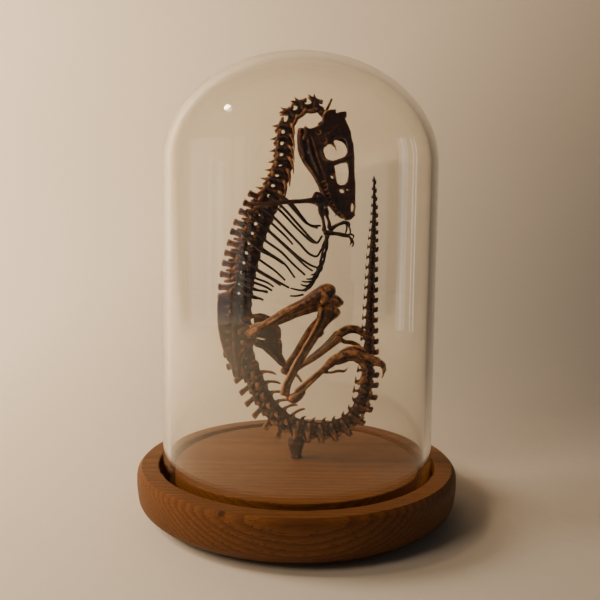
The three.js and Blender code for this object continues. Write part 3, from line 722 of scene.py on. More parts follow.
def repeat_tree():
    """Geometry nodes: one model repeated along part of a curve in the XZ plane, sized from first to last."""
    kinds = {"Vertebra": "Object", "Count": "Int", "Start": "Float", "End": "Float", "Wobble": "Float"}
    kinds |= {"First Size": "Vector", "Last Size": "Vector", "Seed": "Int"}
    tree, given = opened_tree("repeat_along_backbone", kinds)
    curve = add(tree, "GeometryNodeMeshToCurve", {0: given["Geometry"]}).outputs[0]
    part = add(tree, "GeometryNodeTrimCurve", {0: curve, 2: given["Start"], 3: given["End"]}).outputs[0]
    row = add(tree, "GeometryNodeCurveToPoints", {0: part, 1: given["Count"]}).outputs
    tangent = add(tree, "ShaderNodeSeparateXYZ", {0: row["Tangent"]}).outputs
    slope = add(tree, "ShaderNodeMath", {0: tangent["Z"], 1: tangent["X"]}, operation="ARCTAN2").outputs[0]
    low = add(tree, "ShaderNodeMath", {0: given["Wobble"], 1: -1.0}, operation="MULTIPLY").outputs[0]
    tilt = add(
        tree, "FunctionNodeRandomValue", {2: low, 3: given["Wobble"], 8: given["Seed"]}, data_type="FLOAT"
    ).outputs[1]
    turn = add(tree, "ShaderNodeMath", {0: tilt, 1: slope}, operation="SUBTRACT").outputs[0]
    euler = add(tree, "ShaderNodeCombineXYZ", {0: math.pi, 1: turn, 2: 0.0}).outputs[0]
    rotation = add(tree, "FunctionNodeEulerToRotation", {0: euler}).outputs[0]
    last = add(tree, "ShaderNodeMath", {0: given["Count"], 1: -1.0}, operation="ADD").outputs[0]
    share = add(
        tree, "ShaderNodeMath", {0: add(tree, "GeometryNodeInputIndex").outputs[0], 1: last},
        operation="DIVIDE"
    ).outputs[0]
    size = add(
        tree, "ShaderNodeMix", {0: share, 4: given["First Size"], 5: given["Last Size"]}, data_type="VECTOR"
    ).outputs[1]
    model = add(tree, "GeometryNodeObjectInfo", {0: given["Vertebra"]}).outputs["Geometry"]
    copies = add(
        tree, "GeometryNodeInstanceOnPoints", {0: row["Points"], 2: model, 5: rotation, 6: size}
    ).outputs[0]
    return closed_tree(tree, copies, given["Material"])


def grown_by(tree, name, start, values):
    """The plain mesh that a node tree makes from a start mesh, with its named inputs set."""
    host = bpy.data.objects.new(name, start)
    modifier = host.modifiers.new(name, "NODES")
    modifier.node_group = tree
    for socket in tree.interface.items_tree:
        if socket.in_out == "INPUT" and socket.name in values:
            modifier[socket.identifier] = values[socket.name]
    bpy.context.collection.objects.link(host)
    made = bpy.data.meshes.new_from_object(host.evaluated_get(bpy.context.evaluated_depsgraph_get()))
    host.modifiers.remove(modifier)
    bpy.data.objects.remove(host)
    return made


def line_mesh(name, points, radii=None):
    """A polyline as a mesh of edges, with its radii as an attribute."""
    mesh = bpy.data.meshes.new(name)
    mesh.from_pydata([tuple(p) for p in points], [(k, k + 1) for k in range(len(points) - 1)], [])
    if radii is not None:
        stored = mesh.attributes.new("radius_mm", "FLOAT", "POINT")
        stored.data.foreach_set("value", np.array(radii, np.float32))
    return mesh


def backbone():
    tree = repeat_tree()
    line = smooth([(x, 0, z) for x, z in BACKBONE], 0.5)
    nominal = sum(count * pitch for count, pitch, *_ in STRETCHES.values())
    start = 0
    for seed, (name, (count, pitch, kind, first, last)) in enumerate(STRETCHES.items()):
        end = start + count * pitch
        values = {
            "Vertebra": VERTEBRAE[kind],
            "Count": count,
            "Start": (start + pitch / 2) / nominal,
            "End": (end - pitch / 2) / nominal,
            "Wobble": math.radians(2.5),
            "First Size": first,
            "Last Size": last,
            "Seed": seed,
            "Material": BONE,
        }
        mesh = grown_by(tree, name + "_row", line_mesh(name + "_line", line), values)
        bone(name + "_row", mesh, [name])
        start = end


backbone()
for model in VERTEBRAE.values():
    bpy.data.objects.remove(model)

# ---------------------------------------------------------------------------------------------
# Trunk ribs: ten pairs of thin rods that start on the side processes, cross the backbone and bow
# out round the body. Each is cast with its vertebra, and is hardly thicker than a wire.
RIBS = {
    "right": [
        [(-4.8, 114), (-1, 109.8), (3, 105.8), (5, 105), (9, 105)],
        [(-8, 113), (0, 104.5), (6.2, 98.2), (7.4, 97.6), (9.8, 100.6)],
        [(-11, 108), (-3.5, 100.5), (0, 97), (5, 92.3), (7.2, 91.6), (9.8, 95)],
        [(-14, 103), (-5, 95.2), (0, 91), (5, 87.8), (8, 86.7)],
        [(-15, 98.3), (-7.5, 93), (-3, 88.5), (2.5, 83.5)],
        [(-16.3, 93.6), (-12, 91.5), (-7.2, 88.3)],
        [(-18.5, 86), (-10, 81), (-4.5, 77.8)],
        [(-19.5, 80), (-15, 78.4), (-12, 76.5)],
        [(-19.5, 77), (-14, 76)],
        [(-19.5, 73.4), (-16.7, 72.8)],
    ],
    "left": [
        [(-2.5, 114), (1, 109.5), (4.5, 105.7), (8, 104.4)],
        [(-9, 112), (-0.5, 103.5), (6, 98), (8.2, 97.6)],
        [(-12, 105.5), (-7, 101), (-3.2, 97)],
        [(-13.5, 102), (-3, 92.5), (3, 87), (6, 85)],
        [(-16, 94), (-7, 88), (-2, 81.8)],
        [(-17.5, 89), (-11, 84.5), (-6.5, 80.6)],
        [(-18.5, 84), (-14, 81.5), (-8.5, 78.2)],
        [(-19.5, 80.9), (-15, 79.3), (-11.8, 77.6)],
        [(-20, 76), (-14.5, 74.8)],
        [(-20, 72.4), (-16.5, 71.5)],
    ],
}
NECK_RIBS, LONG_RIBS = 2, 7
# How far back and up each rib's hidden start lies from its first visible point.
NECK_START, LONG_START, SHORT_START = (5.5, 4.5), (9.5, 8), (7, 3)


def sweep_tree():
    """Geometry nodes: a polyline swept to a solid rod, as thick at each point as its radius says."""
    tree, given = opened_tree("sweep_rod", {"Sides": "Int", "Flatness": "Vector"})
    curve = add(tree, "GeometryNodeMeshToCurve", {0: given["Geometry"]}).outputs[0]
    radius = add(tree, "GeometryNodeInputNamedAttribute", {0: "radius_mm"}, data_type="FLOAT").outputs[0]
    circle = add(tree, "GeometryNodeCurvePrimitiveCircle", {0: given["Sides"], 4: 1.0}).outputs[0]
    section = add(tree, "GeometryNodeTransform", {0: circle, 3: given["Flatness"]}).outputs[0]
    rod = add(tree, "GeometryNodeCurveToMesh", {0: curve, 1: section, 2: radius, 3: True}).outputs[0]
    return closed_tree(tree, rod, given["Material"])


SWEEP = sweep_tree()


def swept(name, paths, flatness=(1, 1, 1), sides=10):
    """One mesh of several (x, y, z, radius) paths in mm, each swept to a rod."""
    work = bmesh.new()
    for path in paths:
        run = smooth(path, 0.5)
        start = line_mesh(name, run[:, :3], run[:, 3])
        work.from_mesh(grown_by(SWEEP, name, start, {"Sides": sides, "Flatness": flatness, "Material": BONE}))
    bmesh.ops.remove_doubles(work, verts=work.verts, dist=0.005)
    bmesh.ops.recalc_face_normals(work, faces=work.faces)
    mesh = bpy.data.meshes.new(name)
    work.to_mesh(mesh)
    work.free()
    return mesh


def ribs():
    head_y, bow, thick = 5.2, 4.2, 0.56
    for label, paths in RIBS.items():
        side = -1 if label == "right" else 1
        for number, points in enumerate(paths, 1):
            x, z = points[0]
            back = NECK_START if number <= NECK_RIBS else LONG_START if number <= LONG_RIBS else SHORT_START
            run = [(x - back[0], z + back[1]), *points]
            share = [k / (len(run) - 1) for k in range(len(run))]
            path = [
                (px, side * (head_y + bow * math.sin(math.pi * s) ** 0.8), pz, thick * (1.15 - 0.3 * s))
                for (px, pz), s in zip(run, share)
            ]
            name = f"rib_{label}_{number:02d}"
            bone(name + "_rod", swept(name + "_rod", [path]), [name], wear_and_shade=0.3)


ribs()

# ---------------------------------------------------------------------------------------------
# Belly ribs: a loose basket of crossing strands under the trunk, with short barbs that trail
# towards the hips. Moulded as one open weave.


def belly_ribs():
    outer = [(13.2, 101), (12.5, 95), (11.3, 89.5), (10.2, 86), (8, 82), (5.5, 78), (3, 76)]
    inner = [(11.5, 101), (9.9, 95), (9.2, 90), (8.2, 86.5), (6.6, 83.5), (5.2, 80), (2, 76.5)]
    barbs = [
        ((8, 84.5), (5.2, 83.3)),
        ((6.5, 82), (3.3, 81.5)),
        ((5.5, 80.5), (1.2, 80.4)),
        ((4, 78.5), (0.8, 79)),
        ((3, 76.3), (-3.8, 77.3)),
        ((2, 74.5), (-4, 73.8)),
    ]
    paths = []
    for phase in range(4):
        strand = []
        for k, ((ox, oz), (ix, iz)) in enumerate(zip(outer, inner)):
            turn = 2.1 * k + phase * math.pi / 2
            mix = 0.5 + 0.45 * math.sin(turn)
            strand.append((ix + (ox - ix) * mix, 1.6 * math.cos(turn), iz + (oz - iz) * mix, 0.5))
        paths.append(strand)
    for (x0, z0), (x1, z1) in barbs:
        for side in BOTH:
            mid = ((x0 + x1) / 2, side * 1.5, (z0 + z1) / 2 - 0.3)
            paths.append([(x0, side * 0.8, z0, 0.45), (*mid, 0.38), (x1, side * 2.2, z1, 0.22)])
    bone("belly_basket", swept("belly_basket", paths), ["belly_ribs"], wear_and_shade=0.35)


belly_ribs()

# ---------------------------------------------------------------------------------------------
# Skull: a thin-walled box of bone with openings for the eye, the cheek and the nostril. Two side
# walls lean together towards the roof. Cast in one, with the stain left dark inside and shade painted
# into its hollows.
SNOUT_Z, CHEEK_Z = 109, 146
SNOUT_HALF, CHEEK_HALF = 2.1, 5.6
ROOF_LEAN = 0.022
SKULL_SIDE = [
    (9.4, 150), (9.9, 153.2), (12.5, 154.9), (14.9, 155.6), (15.2, 153.6), (16.4, 154.4), (19.6, 154.8),
    (19.7, 152.6), (18.8, 151), (18.9, 149.2), (20.2, 147.4), (21.7, 146.2), (22.1, 142.5), (23.2, 137.5),
    (23.5, 134), (23.3, 130), (24, 125), (24.3, 120), (24.6, 113.5), (24.1, 110), (22.4, 108), (20.3, 107.7),
    (18.6, 109.7), (16.6, 111.4), (14.6, 114.6), (13.1, 118), (11.8, 121.8), (10.4, 126.6), (8.4, 131),
    (6.6, 136), (5.2, 141.4), (3, 145.2), (1.4, 147.4), (4, 146.9), (6.5, 147.9), (8.6, 148.6),
]
EYE = [
    (10.3, 138.6), (12, 140), (13.1, 140.1), (14.6, 139), (15.7, 136.6), (15.2, 139.4), (14.1, 141.2),
    (15.4, 142), (17.8, 142.8), (19.4, 141.6), (20.1, 139.2), (19.9, 136.8), (18.6, 134.9), (16, 133.7),
    (12.7, 133.5), (11, 134.8), (10, 136.6),
]
CHEEK_WINDOW = [
    (14.9, 131), (17, 131.8), (20.2, 132.4), (20.7, 129.5), (20.8, 127), (20.3, 124.9), (19.3, 123.8),
    (17.5, 123.4), (16.3, 124.2), (15.9, 126), (15.5, 128.5),
]


def half_width(x, z):
    """Half the skull's width: widest at the cheeks, narrow at the snout and towards the roof."""
    share = min(max((z - SNOUT_Z) / (CHEEK_Z - SNOUT_Z), 0), 1.1)
    lean = 1 - ROOF_LEAN * max(x - 11, 0)
    return (SNOUT_HALF + (CHEEK_HALF - SNOUT_HALF) * share) * lean


def across(path, radius, share=1.0):
    """Cross bars from side to side of the skull along an [x, z] path, close enough to grow into one wall."""
    bars = []
    for x, z in smooth(path, 0.9):
        reach = half_width(x, z) * share
        bar = [(x, -reach, z, radius), (x, 0, z, radius * 1.1), (x, reach, z, radius)]
        bars.append(tube(bar, every=1.0, sides=8))
    return bars


def widened(loop, more_x, more_z):
    """An opening made larger all round, so that the two walls' openings still line up at a slant."""
    points = np.array(loop)
    middle = (points.min(axis=0) + points.max(axis=0)) / 2
    half = (points.max(axis=0) - points.min(axis=0)) / 2
    return (middle + (points - middle) * (1 + np.array([more_x, more_z]) / half)).tolist()


def skull():
    openings = [
        EYE,
        CHEEK_WINDOW,
        oval(14, 143.6, 1.3, 0.75, 50),
        oval(10.2, 141.7, 1.1, 0.7, 40),
        oval(7.8, 145.4, 0.7, 0.7),
        oval(14, 126.6, 0.8, 1.1, 20),
        oval(18.4, 120.5, 1.2, 1.05),
        oval(20.9, 121.2, 0.6, 0.6),
        oval(23.2, 113.4, 0.7, 2.1, -4),
    ]
    right_holes = [widened(loop, 0.25, 0.6) for loop in openings[:2]] + openings[2:]
    # The left wall's eye is a plain, larger opening, so that light comes through the right one.
    left_holes = [oval(15.2, 138.6, 5.6, 5.4), widened(CHEEK_WINDOW, 0.8, 1.2), *openings[2:]]
    parts = []
    for side, holes in zip(BOTH, (right_holes, left_holes)):
        wall = lambda x, z: side * half_width(x, z)
        ridge = lambda points: tube([(x, side * (half_width(x, z) + out), z, r) for x, z, out, r in points])
        parts += [
            slab(SKULL_SIDE, wall, 1.3, holes),
            ridge([(8.3, 143, 0.3, 0.7), (13, 145.6, 0.5, 0.6), (16.6, 149, 0.3, 0.6)]),
            ridge([(14.2, 132.5, 0.3, 0.75), (18.5, 134, 0.5, 0.7), (22.4, 136.2, 0.2, 0.8)]),
            ridge([(9, 137, 0.3, 0.9), (10.8, 133.4, 0.4, 0.8), (14, 132.4, 0.3, 0.7)]),
            ridge([(22.3, 141, 0.2, 0.7), (22.9, 133, 0.3, 0.6), (23.6, 124, 0.2, 0.5)]),
            ridge([(21.5, 125, 0.1, 0.4), (21.8, 121, 0.4, 0.45), (20, 118, 0.3, 0.4)]),
            ridge([(9.6, 150.5, 0.2, 0.8), (10.4, 153.6, 0.2, 0.8), (14.6, 155, 0.0, 0.7)]),
            ridge([(16.5, 153.8, 0.0, 0.7), (19.2, 154, -0.6, 0.8)]),
            ridge([(11.6, 126, 0.0, 0.6), (13.9, 118.4, 0.1, 0.6), (17.2, 112, 0.1, 0.6)]),
            ridge([(1.8, 147.2, 0.0, 0.9), (2.4, 144.6, 0.2, 1.2), (1.2, 142.6, 0.2, 1.0)]),
        ]
    roof = [(19, 150.5), (20.6, 146.8), (21.6, 143), (22.6, 138), (22.9, 133.5), (22.9, 130), (23.5, 125),
            (23.8, 120)]
    parts += across(roof, 0.75)
    parts += across([(23.8, 119), (24, 116)], 0.6)
    parts += across([(23.7, 110.2), (22, 108.6), (20.6, 108.8)], 0.8)
    parts += across([(8, 149.2), (10.6, 151), (13, 153.6)], 0.8, 0.8)
    parts += across([(18.6, 111), (20.6, 110)], 0.6)
    parts.append(tube([(12.6, 0, 144.5, 2.2), (14.2, 0, 149, 3.4), (16.4, 0, 152.8, 2.4)]))
    parts.append(tube([(10.6, 0, 153.6, 1.4), (8.6, 0, 155.6, 1.6)]))
    parts.append(tube([(10.6, 0, 155.4, 0.7), (11.6, 0, 157.2, 0.6), (13.3, 0, 161.2, 0.55)]))
    cast("skull", parts, voxel=0.27, rounds=2, rough=0.14, seed=7)


skull()

# ---------------------------------------------------------------------------------------------
# Lower jaw: two deep side plates that meet at the chin, hung from a block at the back of the
# skull, with the upper teeth biting down over its outside.
JAW_SIDE = [
    (-1.5, 147), (-1.7, 143), (-1.5, 139), (-0.6, 136), (2, 132), (5, 128.2), (7, 125.2), (9, 121.4),
    (11, 117.5), (12.4, 114.9), (14.3, 112.2), (16.2, 110.2), (18, 109.2), (19.6, 108.5), (18.8, 110.2),
    (17, 112), (15.2, 114.6), (13.9, 118), (12.6, 121.4), (11, 126), (9.4, 130), (7.8, 134), (6, 138.4),
    (4.6, 142), (3.1, 145.4), (1.4, 147.3),
]
TOOTH_ROW = [(11.2, 124.6), (12.3, 121.4), (13.5, 118), (15, 114.6), (17, 112), (18.8, 110.4)]


def teeth_tree():
    """Geometry nodes: straight, pointed teeth of uneven size in a row, square to their line."""
    kinds = {"Count": "Int", "Tooth Length": "Float", "Tooth Radius": "Float", "Seed": "Int"}
    tree, given = opened_tree("set_teeth", kinds)
    curve = add(tree, "GeometryNodeMeshToCurve", {0: given["Geometry"]}).outputs[0]
    row = add(tree, "GeometryNodeCurveToPoints", {0: curve, 1: given["Count"]}).outputs
    tangent = add(tree, "ShaderNodeSeparateXYZ", {0: row["Tangent"]}).outputs
    slope = add(tree, "ShaderNodeMath", {0: tangent["Z"], 1: tangent["X"]}, operation="ARCTAN2").outputs[0]
    turn = add(tree, "ShaderNodeMath", {0: -math.pi, 1: slope}, operation="SUBTRACT").outputs[0]
    euler = add(tree, "ShaderNodeCombineXYZ", {0: 0.0, 1: turn, 2: 0.0}).outputs[0]
    rotation = add(tree, "FunctionNodeEulerToRotation", {0: euler}).outputs[0]
    size = add(tree, "FunctionNodeRandomValue", {2: 0.75, 3: 1.15, 8: given["Seed"]},
               data_type="FLOAT").outputs[1]
    tooth = add(
        tree,
        "GeometryNodeMeshCone",
        {0: 8, 1: 3, 3: 0.12, 4: given["Tooth Radius"], 5: given["Tooth Length"]},
    ).outputs[0]
    copies = add(
        tree, "GeometryNodeInstanceOnPoints", {0: row["Points"], 2: tooth, 5: rotation, 6: size}
    ).outputs[0]
    return closed_tree(tree, copies, given["Material"])


def lower_jaw():
    parts = []
    for side in BOTH:
        wall = lambda x, z: side * (half_width(x, z) - 0.35)
        ridge = lambda points: tube([(x, side * (half_width(x, z) + out), z, r) for x, z, out, r in points])
        parts += [
            slab(JAW_SIDE, wall, 1.2, [oval(3.6, 137, 0.7, 1.7, 22)]),
            ridge([(-0.4, 146.4, 0.0, 1.1), (0.1, 140, 0.2, 1.1), (1.6, 135, 0.0, 0.9)]),
            ridge([(2.8, 143.6, 0.2, 0.8), (4.6, 136, 0.3, 0.7), (8, 127.4, 0.1, 0.7)]),
            ridge([(1, 134.5, 0.0, 0.8), (6.4, 127, 0.0, 0.8), (12.4, 115.6, 0.0, 0.7),
                  (17.6, 109.8, -0.2, 0.6)]),
        ]
    parts += across([(16.4, 110.6), (19, 109)], 0.6)
    bone("jaw_cast", fused("jaw_cast", parts, voxel=0.27, rounds=2, rough=0.14, seed=9), ["lower_jaw"])


def teeth():
    tree = teeth_tree()
    work = bmesh.new()
    for side in BOTH:
        line = [(x, side * (half_width(x, z) + 0.45), z) for x, z in smooth(TOOTH_ROW, 0.5)]
        values = {"Count": 10, "Tooth Length": 2.2, "Tooth Radius": 0.62, "Seed": 5 + side, "Material": BONE}
        work.from_mesh(grown_by(tree, "tooth_row", line_mesh("tooth_line", line), values))
    mesh = bpy.data.meshes.new("upper_teeth")
    work.to_mesh(mesh)
    work.free()
    bone("upper_teeth", mesh, ["skull"], wear_and_shade=0.7)


lower_jaw()
teeth()

# ---------------------------------------------------------------------------------------------
# Shoulders and arms: a strap-like blade along each side of the ribs, and a small folded arm with
# a three-fingered hand. The right one hangs a little lower. Cast bones, glued at the joints.
ARMS = {
    "right": {
        "rise": 0,
        "shoulder": (9.1, 113.6),
        "elbow": (10.6, 102.4),
        "wrist": (19.6, 101),
        "fingers": [(23.6, 100.5), (23.3, 97), (22.2, 97.6)],
    },
    "left": {
        "rise": 1.7,
        "shoulder": (11.6, 114.6),
        "elbow": (13.6, 104.4),
        "wrist": (20.2, 107.3),
        "fingers": [(22.8, 105.6), (23.2, 102.2), (21.4, 103)],
    },
}


def shoulder_and_arm(label, seed):
    side = -1 if label == "right" else 1
    arm = ARMS[label]
    (sx, sz), (ex, ez), (wx, wz) = arm["shoulder"], arm["elbow"], arm["wrist"]
    y = lambda value: side * value
    rise = arm["rise"]
    blade = [
        tube([(-19.6, y(10.4), 111.8 + rise, 0.6), (-15, y(10.9), 113 + rise, 0.9),
              (-9, y(11.2), 114.3 + rise, 1.05),
              (0, y(11), 115 + rise, 1.05), (6, y(9.6), 115.6 + rise / 2, 1.2), (9.4, y(8.2), 115.2, 1.7)],
              flat=0.5),
        tube([(-19.8, y(10.4), 113.8 + rise, 0.6), (-14, y(10.9), 114.2 + rise, 0.65),
              (-7, y(11.2), 114.7 + rise, 0.6)], flat=0.5),
        tube([(5.4, y(9.8), 116.2, 0.8), (6.8, y(9.4), 118.6, 0.9), (8.6, y(8.8), 118, 0.9),
              (10.6, y(8), 116.2, 1.0)], flat=0.6),
        tube([(8, y(8.2), 116, 1.6), (10.4, y(6.4), 115, 1.9), (11.4, y(3.6), 114.4, 1.5),
              (11.8, y(1), 114, 1.1)],
             flat=0.7),
    ]
    bone(f"shoulder_{label}_cast", fused("shoulder", blade, seed=seed), [f"shoulder_blade_{label}"], wear_and_shade=0.6)
    upper = [
        tube([(sx, y(8), sz + 0.6, 1.5), (sx - 0.3, y(8.3), sz - 2.6, 1.0),
              ((sx + ex) / 2, y(8.6), (sz + ez) / 2, 0.8),
              (ex - 0.1, y(8.7), ez + 2.4, 0.85), (ex, y(8.8), ez + 0.6, 1.25)], flat=0.85),
        tube([(sx + 0.8, y(8.4), sz - 1.4, 0.6), (sx + 1.1, y(8.7), sz - 4, 0.7),
              (sx + 0.4, y(8.6), sz - 5.4, 0.4)]),
    ]
    cast(f"upper_arm_{label}", upper, wear_and_shade=0.6, seed=seed + 1)
    lower = []
    for offset, thick in ((0.7, 0.62), (-0.6, 0.8)):
        lower.append(
            tube([(ex + 0.4, y(8.8 + offset * 0.4), ez - 0.4 + offset * 0.6, thick * 1.4),
                  ((ex + wx) / 2, y(8.7 + offset), (ez + wz) / 2 + offset * 0.5, thick * 0.85),
                  (wx, y(8.3 + offset * 0.3), wz + offset * 0.3, thick * 1.15)])
        )
    cast(f"forearm_{label}", lower, wear_and_shade=0.5, seed=seed + 2)
    hand = [tube([(wx, y(8.2), wz, 0.9), (wx + 1.4, y(8.1), wz - 0.4, 0.8)], flat=1.4)]
    for k, (fx, fz) in enumerate(arm["fingers"]):
        spread = (k - 1) * 1.2
        hand.append(
            tube([(wx + 0.6, y(8.1 + spread * 0.3), wz - 0.1, 0.6),
                  ((wx + fx) / 2 + 0.8, y(8 + spread), (wz + fz) / 2 + 0.7, 0.5),
                  (fx, y(7.8 + spread), fz, 0.42), (fx - 0.7, y(7.7 + spread), fz - 1.3, 0.14)])
        )
    cast(f"hand_{label}", hand, wear_and_shade=0.5, voxel=0.22, rounds=1, seed=seed + 3)


for seed, label in enumerate(ARMS):
    shoulder_and_arm(label, 20 + 5 * seed)

# ---------------------------------------------------------------------------------------------
# Hips: two broad ilium plates clasp the hip vertebrae. Each has an upright ridge with hollows on
# either side, a socket for the thigh, and a strut down to the tail. Pubis and ischium reach forward.
ILIUM = [
    (-35.6, 74.6), (-33, 74.9), (-29.8, 74.2), (-27.4, 71.6), (-26.6, 67), (-25.4, 63), (-21.6, 60.6),
    (-18.8, 58.6), (-18.6, 55), (-20.6, 51.4), (-23.4, 49.6), (-24.8, 46), (-25.2, 42), (-25.8, 37.2),
    (-28.6, 37.4), (-29.6, 41), (-30.9, 44.6), (-33, 49.6), (-34.6, 55.6), (-35.6, 62), (-36, 68.5),
]


def hips():
    plate_y = 4.7
    for seed, (label, side) in enumerate((("right", -1), ("left", 1))):
        dish = lambda x, z: side * (plate_y + 0.05 * max(-30 - x, 0) ** 1.3)
        ridge = lambda points: tube([(x, side * (plate_y + out), z, r) for x, z, out, r in points])
        parts = [
            slab(ILIUM, dish, 1.5),
            ridge([(-28.6, 73, 0.7, 1.0), (-28.3, 66, 1.0, 1.0), (-28.5, 57, 1.0, 0.9),
                  (-28.2, 50, 1.0, 1.0), (-27, 43, 0.9, 1.0), (-26.8, 37.8, 0.4, 1.0)]),
            ridge([(-35.2, 73.8, 0.6, 0.7), (-31.6, 73.6, 0.9, 1.1), (-28.6, 72.6, 0.8, 1.0)]),
            ridge([(-35.6, 71, 0.5, 0.6), (-35.4, 62, 0.6, 0.6), (-33.2, 51, 0.6, 0.7),
                  (-31, 45.4, 0.5, 0.7)]),
            ridge([(-24, 50.6, 0.7, 0.9), (-26.4, 47.6, 1.0, 0.9), (-27.2, 42, 0.8, 0.9)]),
            ridge([(-25.6, 57.8, 0.8, 1.6), (-22, 59.4, 0.8, 1.5), (-20, 56.4, 0.8, 1.4),
                  (-21.6, 52.4, 0.8, 1.4), (-24.6, 53.4, 0.8, 1.4)]),
            ridge([(-22.8, 56.6, 0.6, 1.7), (-22.2, 57.2, 2.6, 1.9)]),
        ]
        for rung in (69.5, 66, 62.4, 58.6, 55, 51.4):
            parts.append(
                ridge([(-35 + (74 - rung) * 0.1, rung, 0.4, 0.5), (-32, rung - 0.7, 0.75, 0.65),
                      (-29, rung + 0.3, 0.8, 0.6)])
            )
        cast(f"ilium_{label}", parts, wear_and_shade=0.8, seed=31 + seed)

    web = [(-20.4, 65.4), (-17.4, 65.9), (-15.2, 65.4), (-12.6, 64.4), (-9.6, 61.2), (-9.5, 58), (-8, 56.2),
           (-7.8, 54.4), (-13, 54.2), (-19.4, 55)]
    pubis = [slab(web, 0, 2.6)]
    for side in BOTH:
        pubis += [
            tube([(-19.6, side * 3.4, 58.4, 1.7), (-14.6, side * 2.2, 60.6, 1.2),
                  (-9.4, side * 1.4, 58.6, 1.3),
                  (-8.6, side * 1.2, 55.6, 1.0)]),
            tube([(-24, side * 3.2, 63, 0.9), (-20, side * 2.6, 64.6, 0.8), (-14.6, side * 1.8, 64, 0.7)]),
        ]
    cast("pubis", pubis, seed=36)

    web = [(-18.6, 53.8), (-13, 53.8), (-7.8, 54), (-7.7, 50.4), (-7.3, 47.4), (-5.6, 44.6), (-6.4, 41.2),
           (-8.6, 42.6), (-12.4, 46.4), (-16.6, 50)]
    ischium = [slab(web, 0, 2.2)]
    for side in BOTH:
        ischium += [
            tube([(-18.6, side * 3, 52.6, 1.6), (-14, side * 1.8, 50, 1.1), (-9, side * 1.2, 45, 1.0),
                  (-6.2, side * 0.8, 42.4, 1.1)]),
            tube([(-15, side * 2, 53.4, 0.8), (-8.6, side * 1.2, 53, 0.9), (-8, side * 1, 48, 0.8)]),
        ]
    cast("ischium", ischium, seed=37)


hips()

# ---------------------------------------------------------------------------------------------
# Legs: long thigh, shin with its thin splint bone beside it, and three insteps side by side. The
# ends swell into paired knuckles, and low ridges run down the shafts. One casting for each bone.


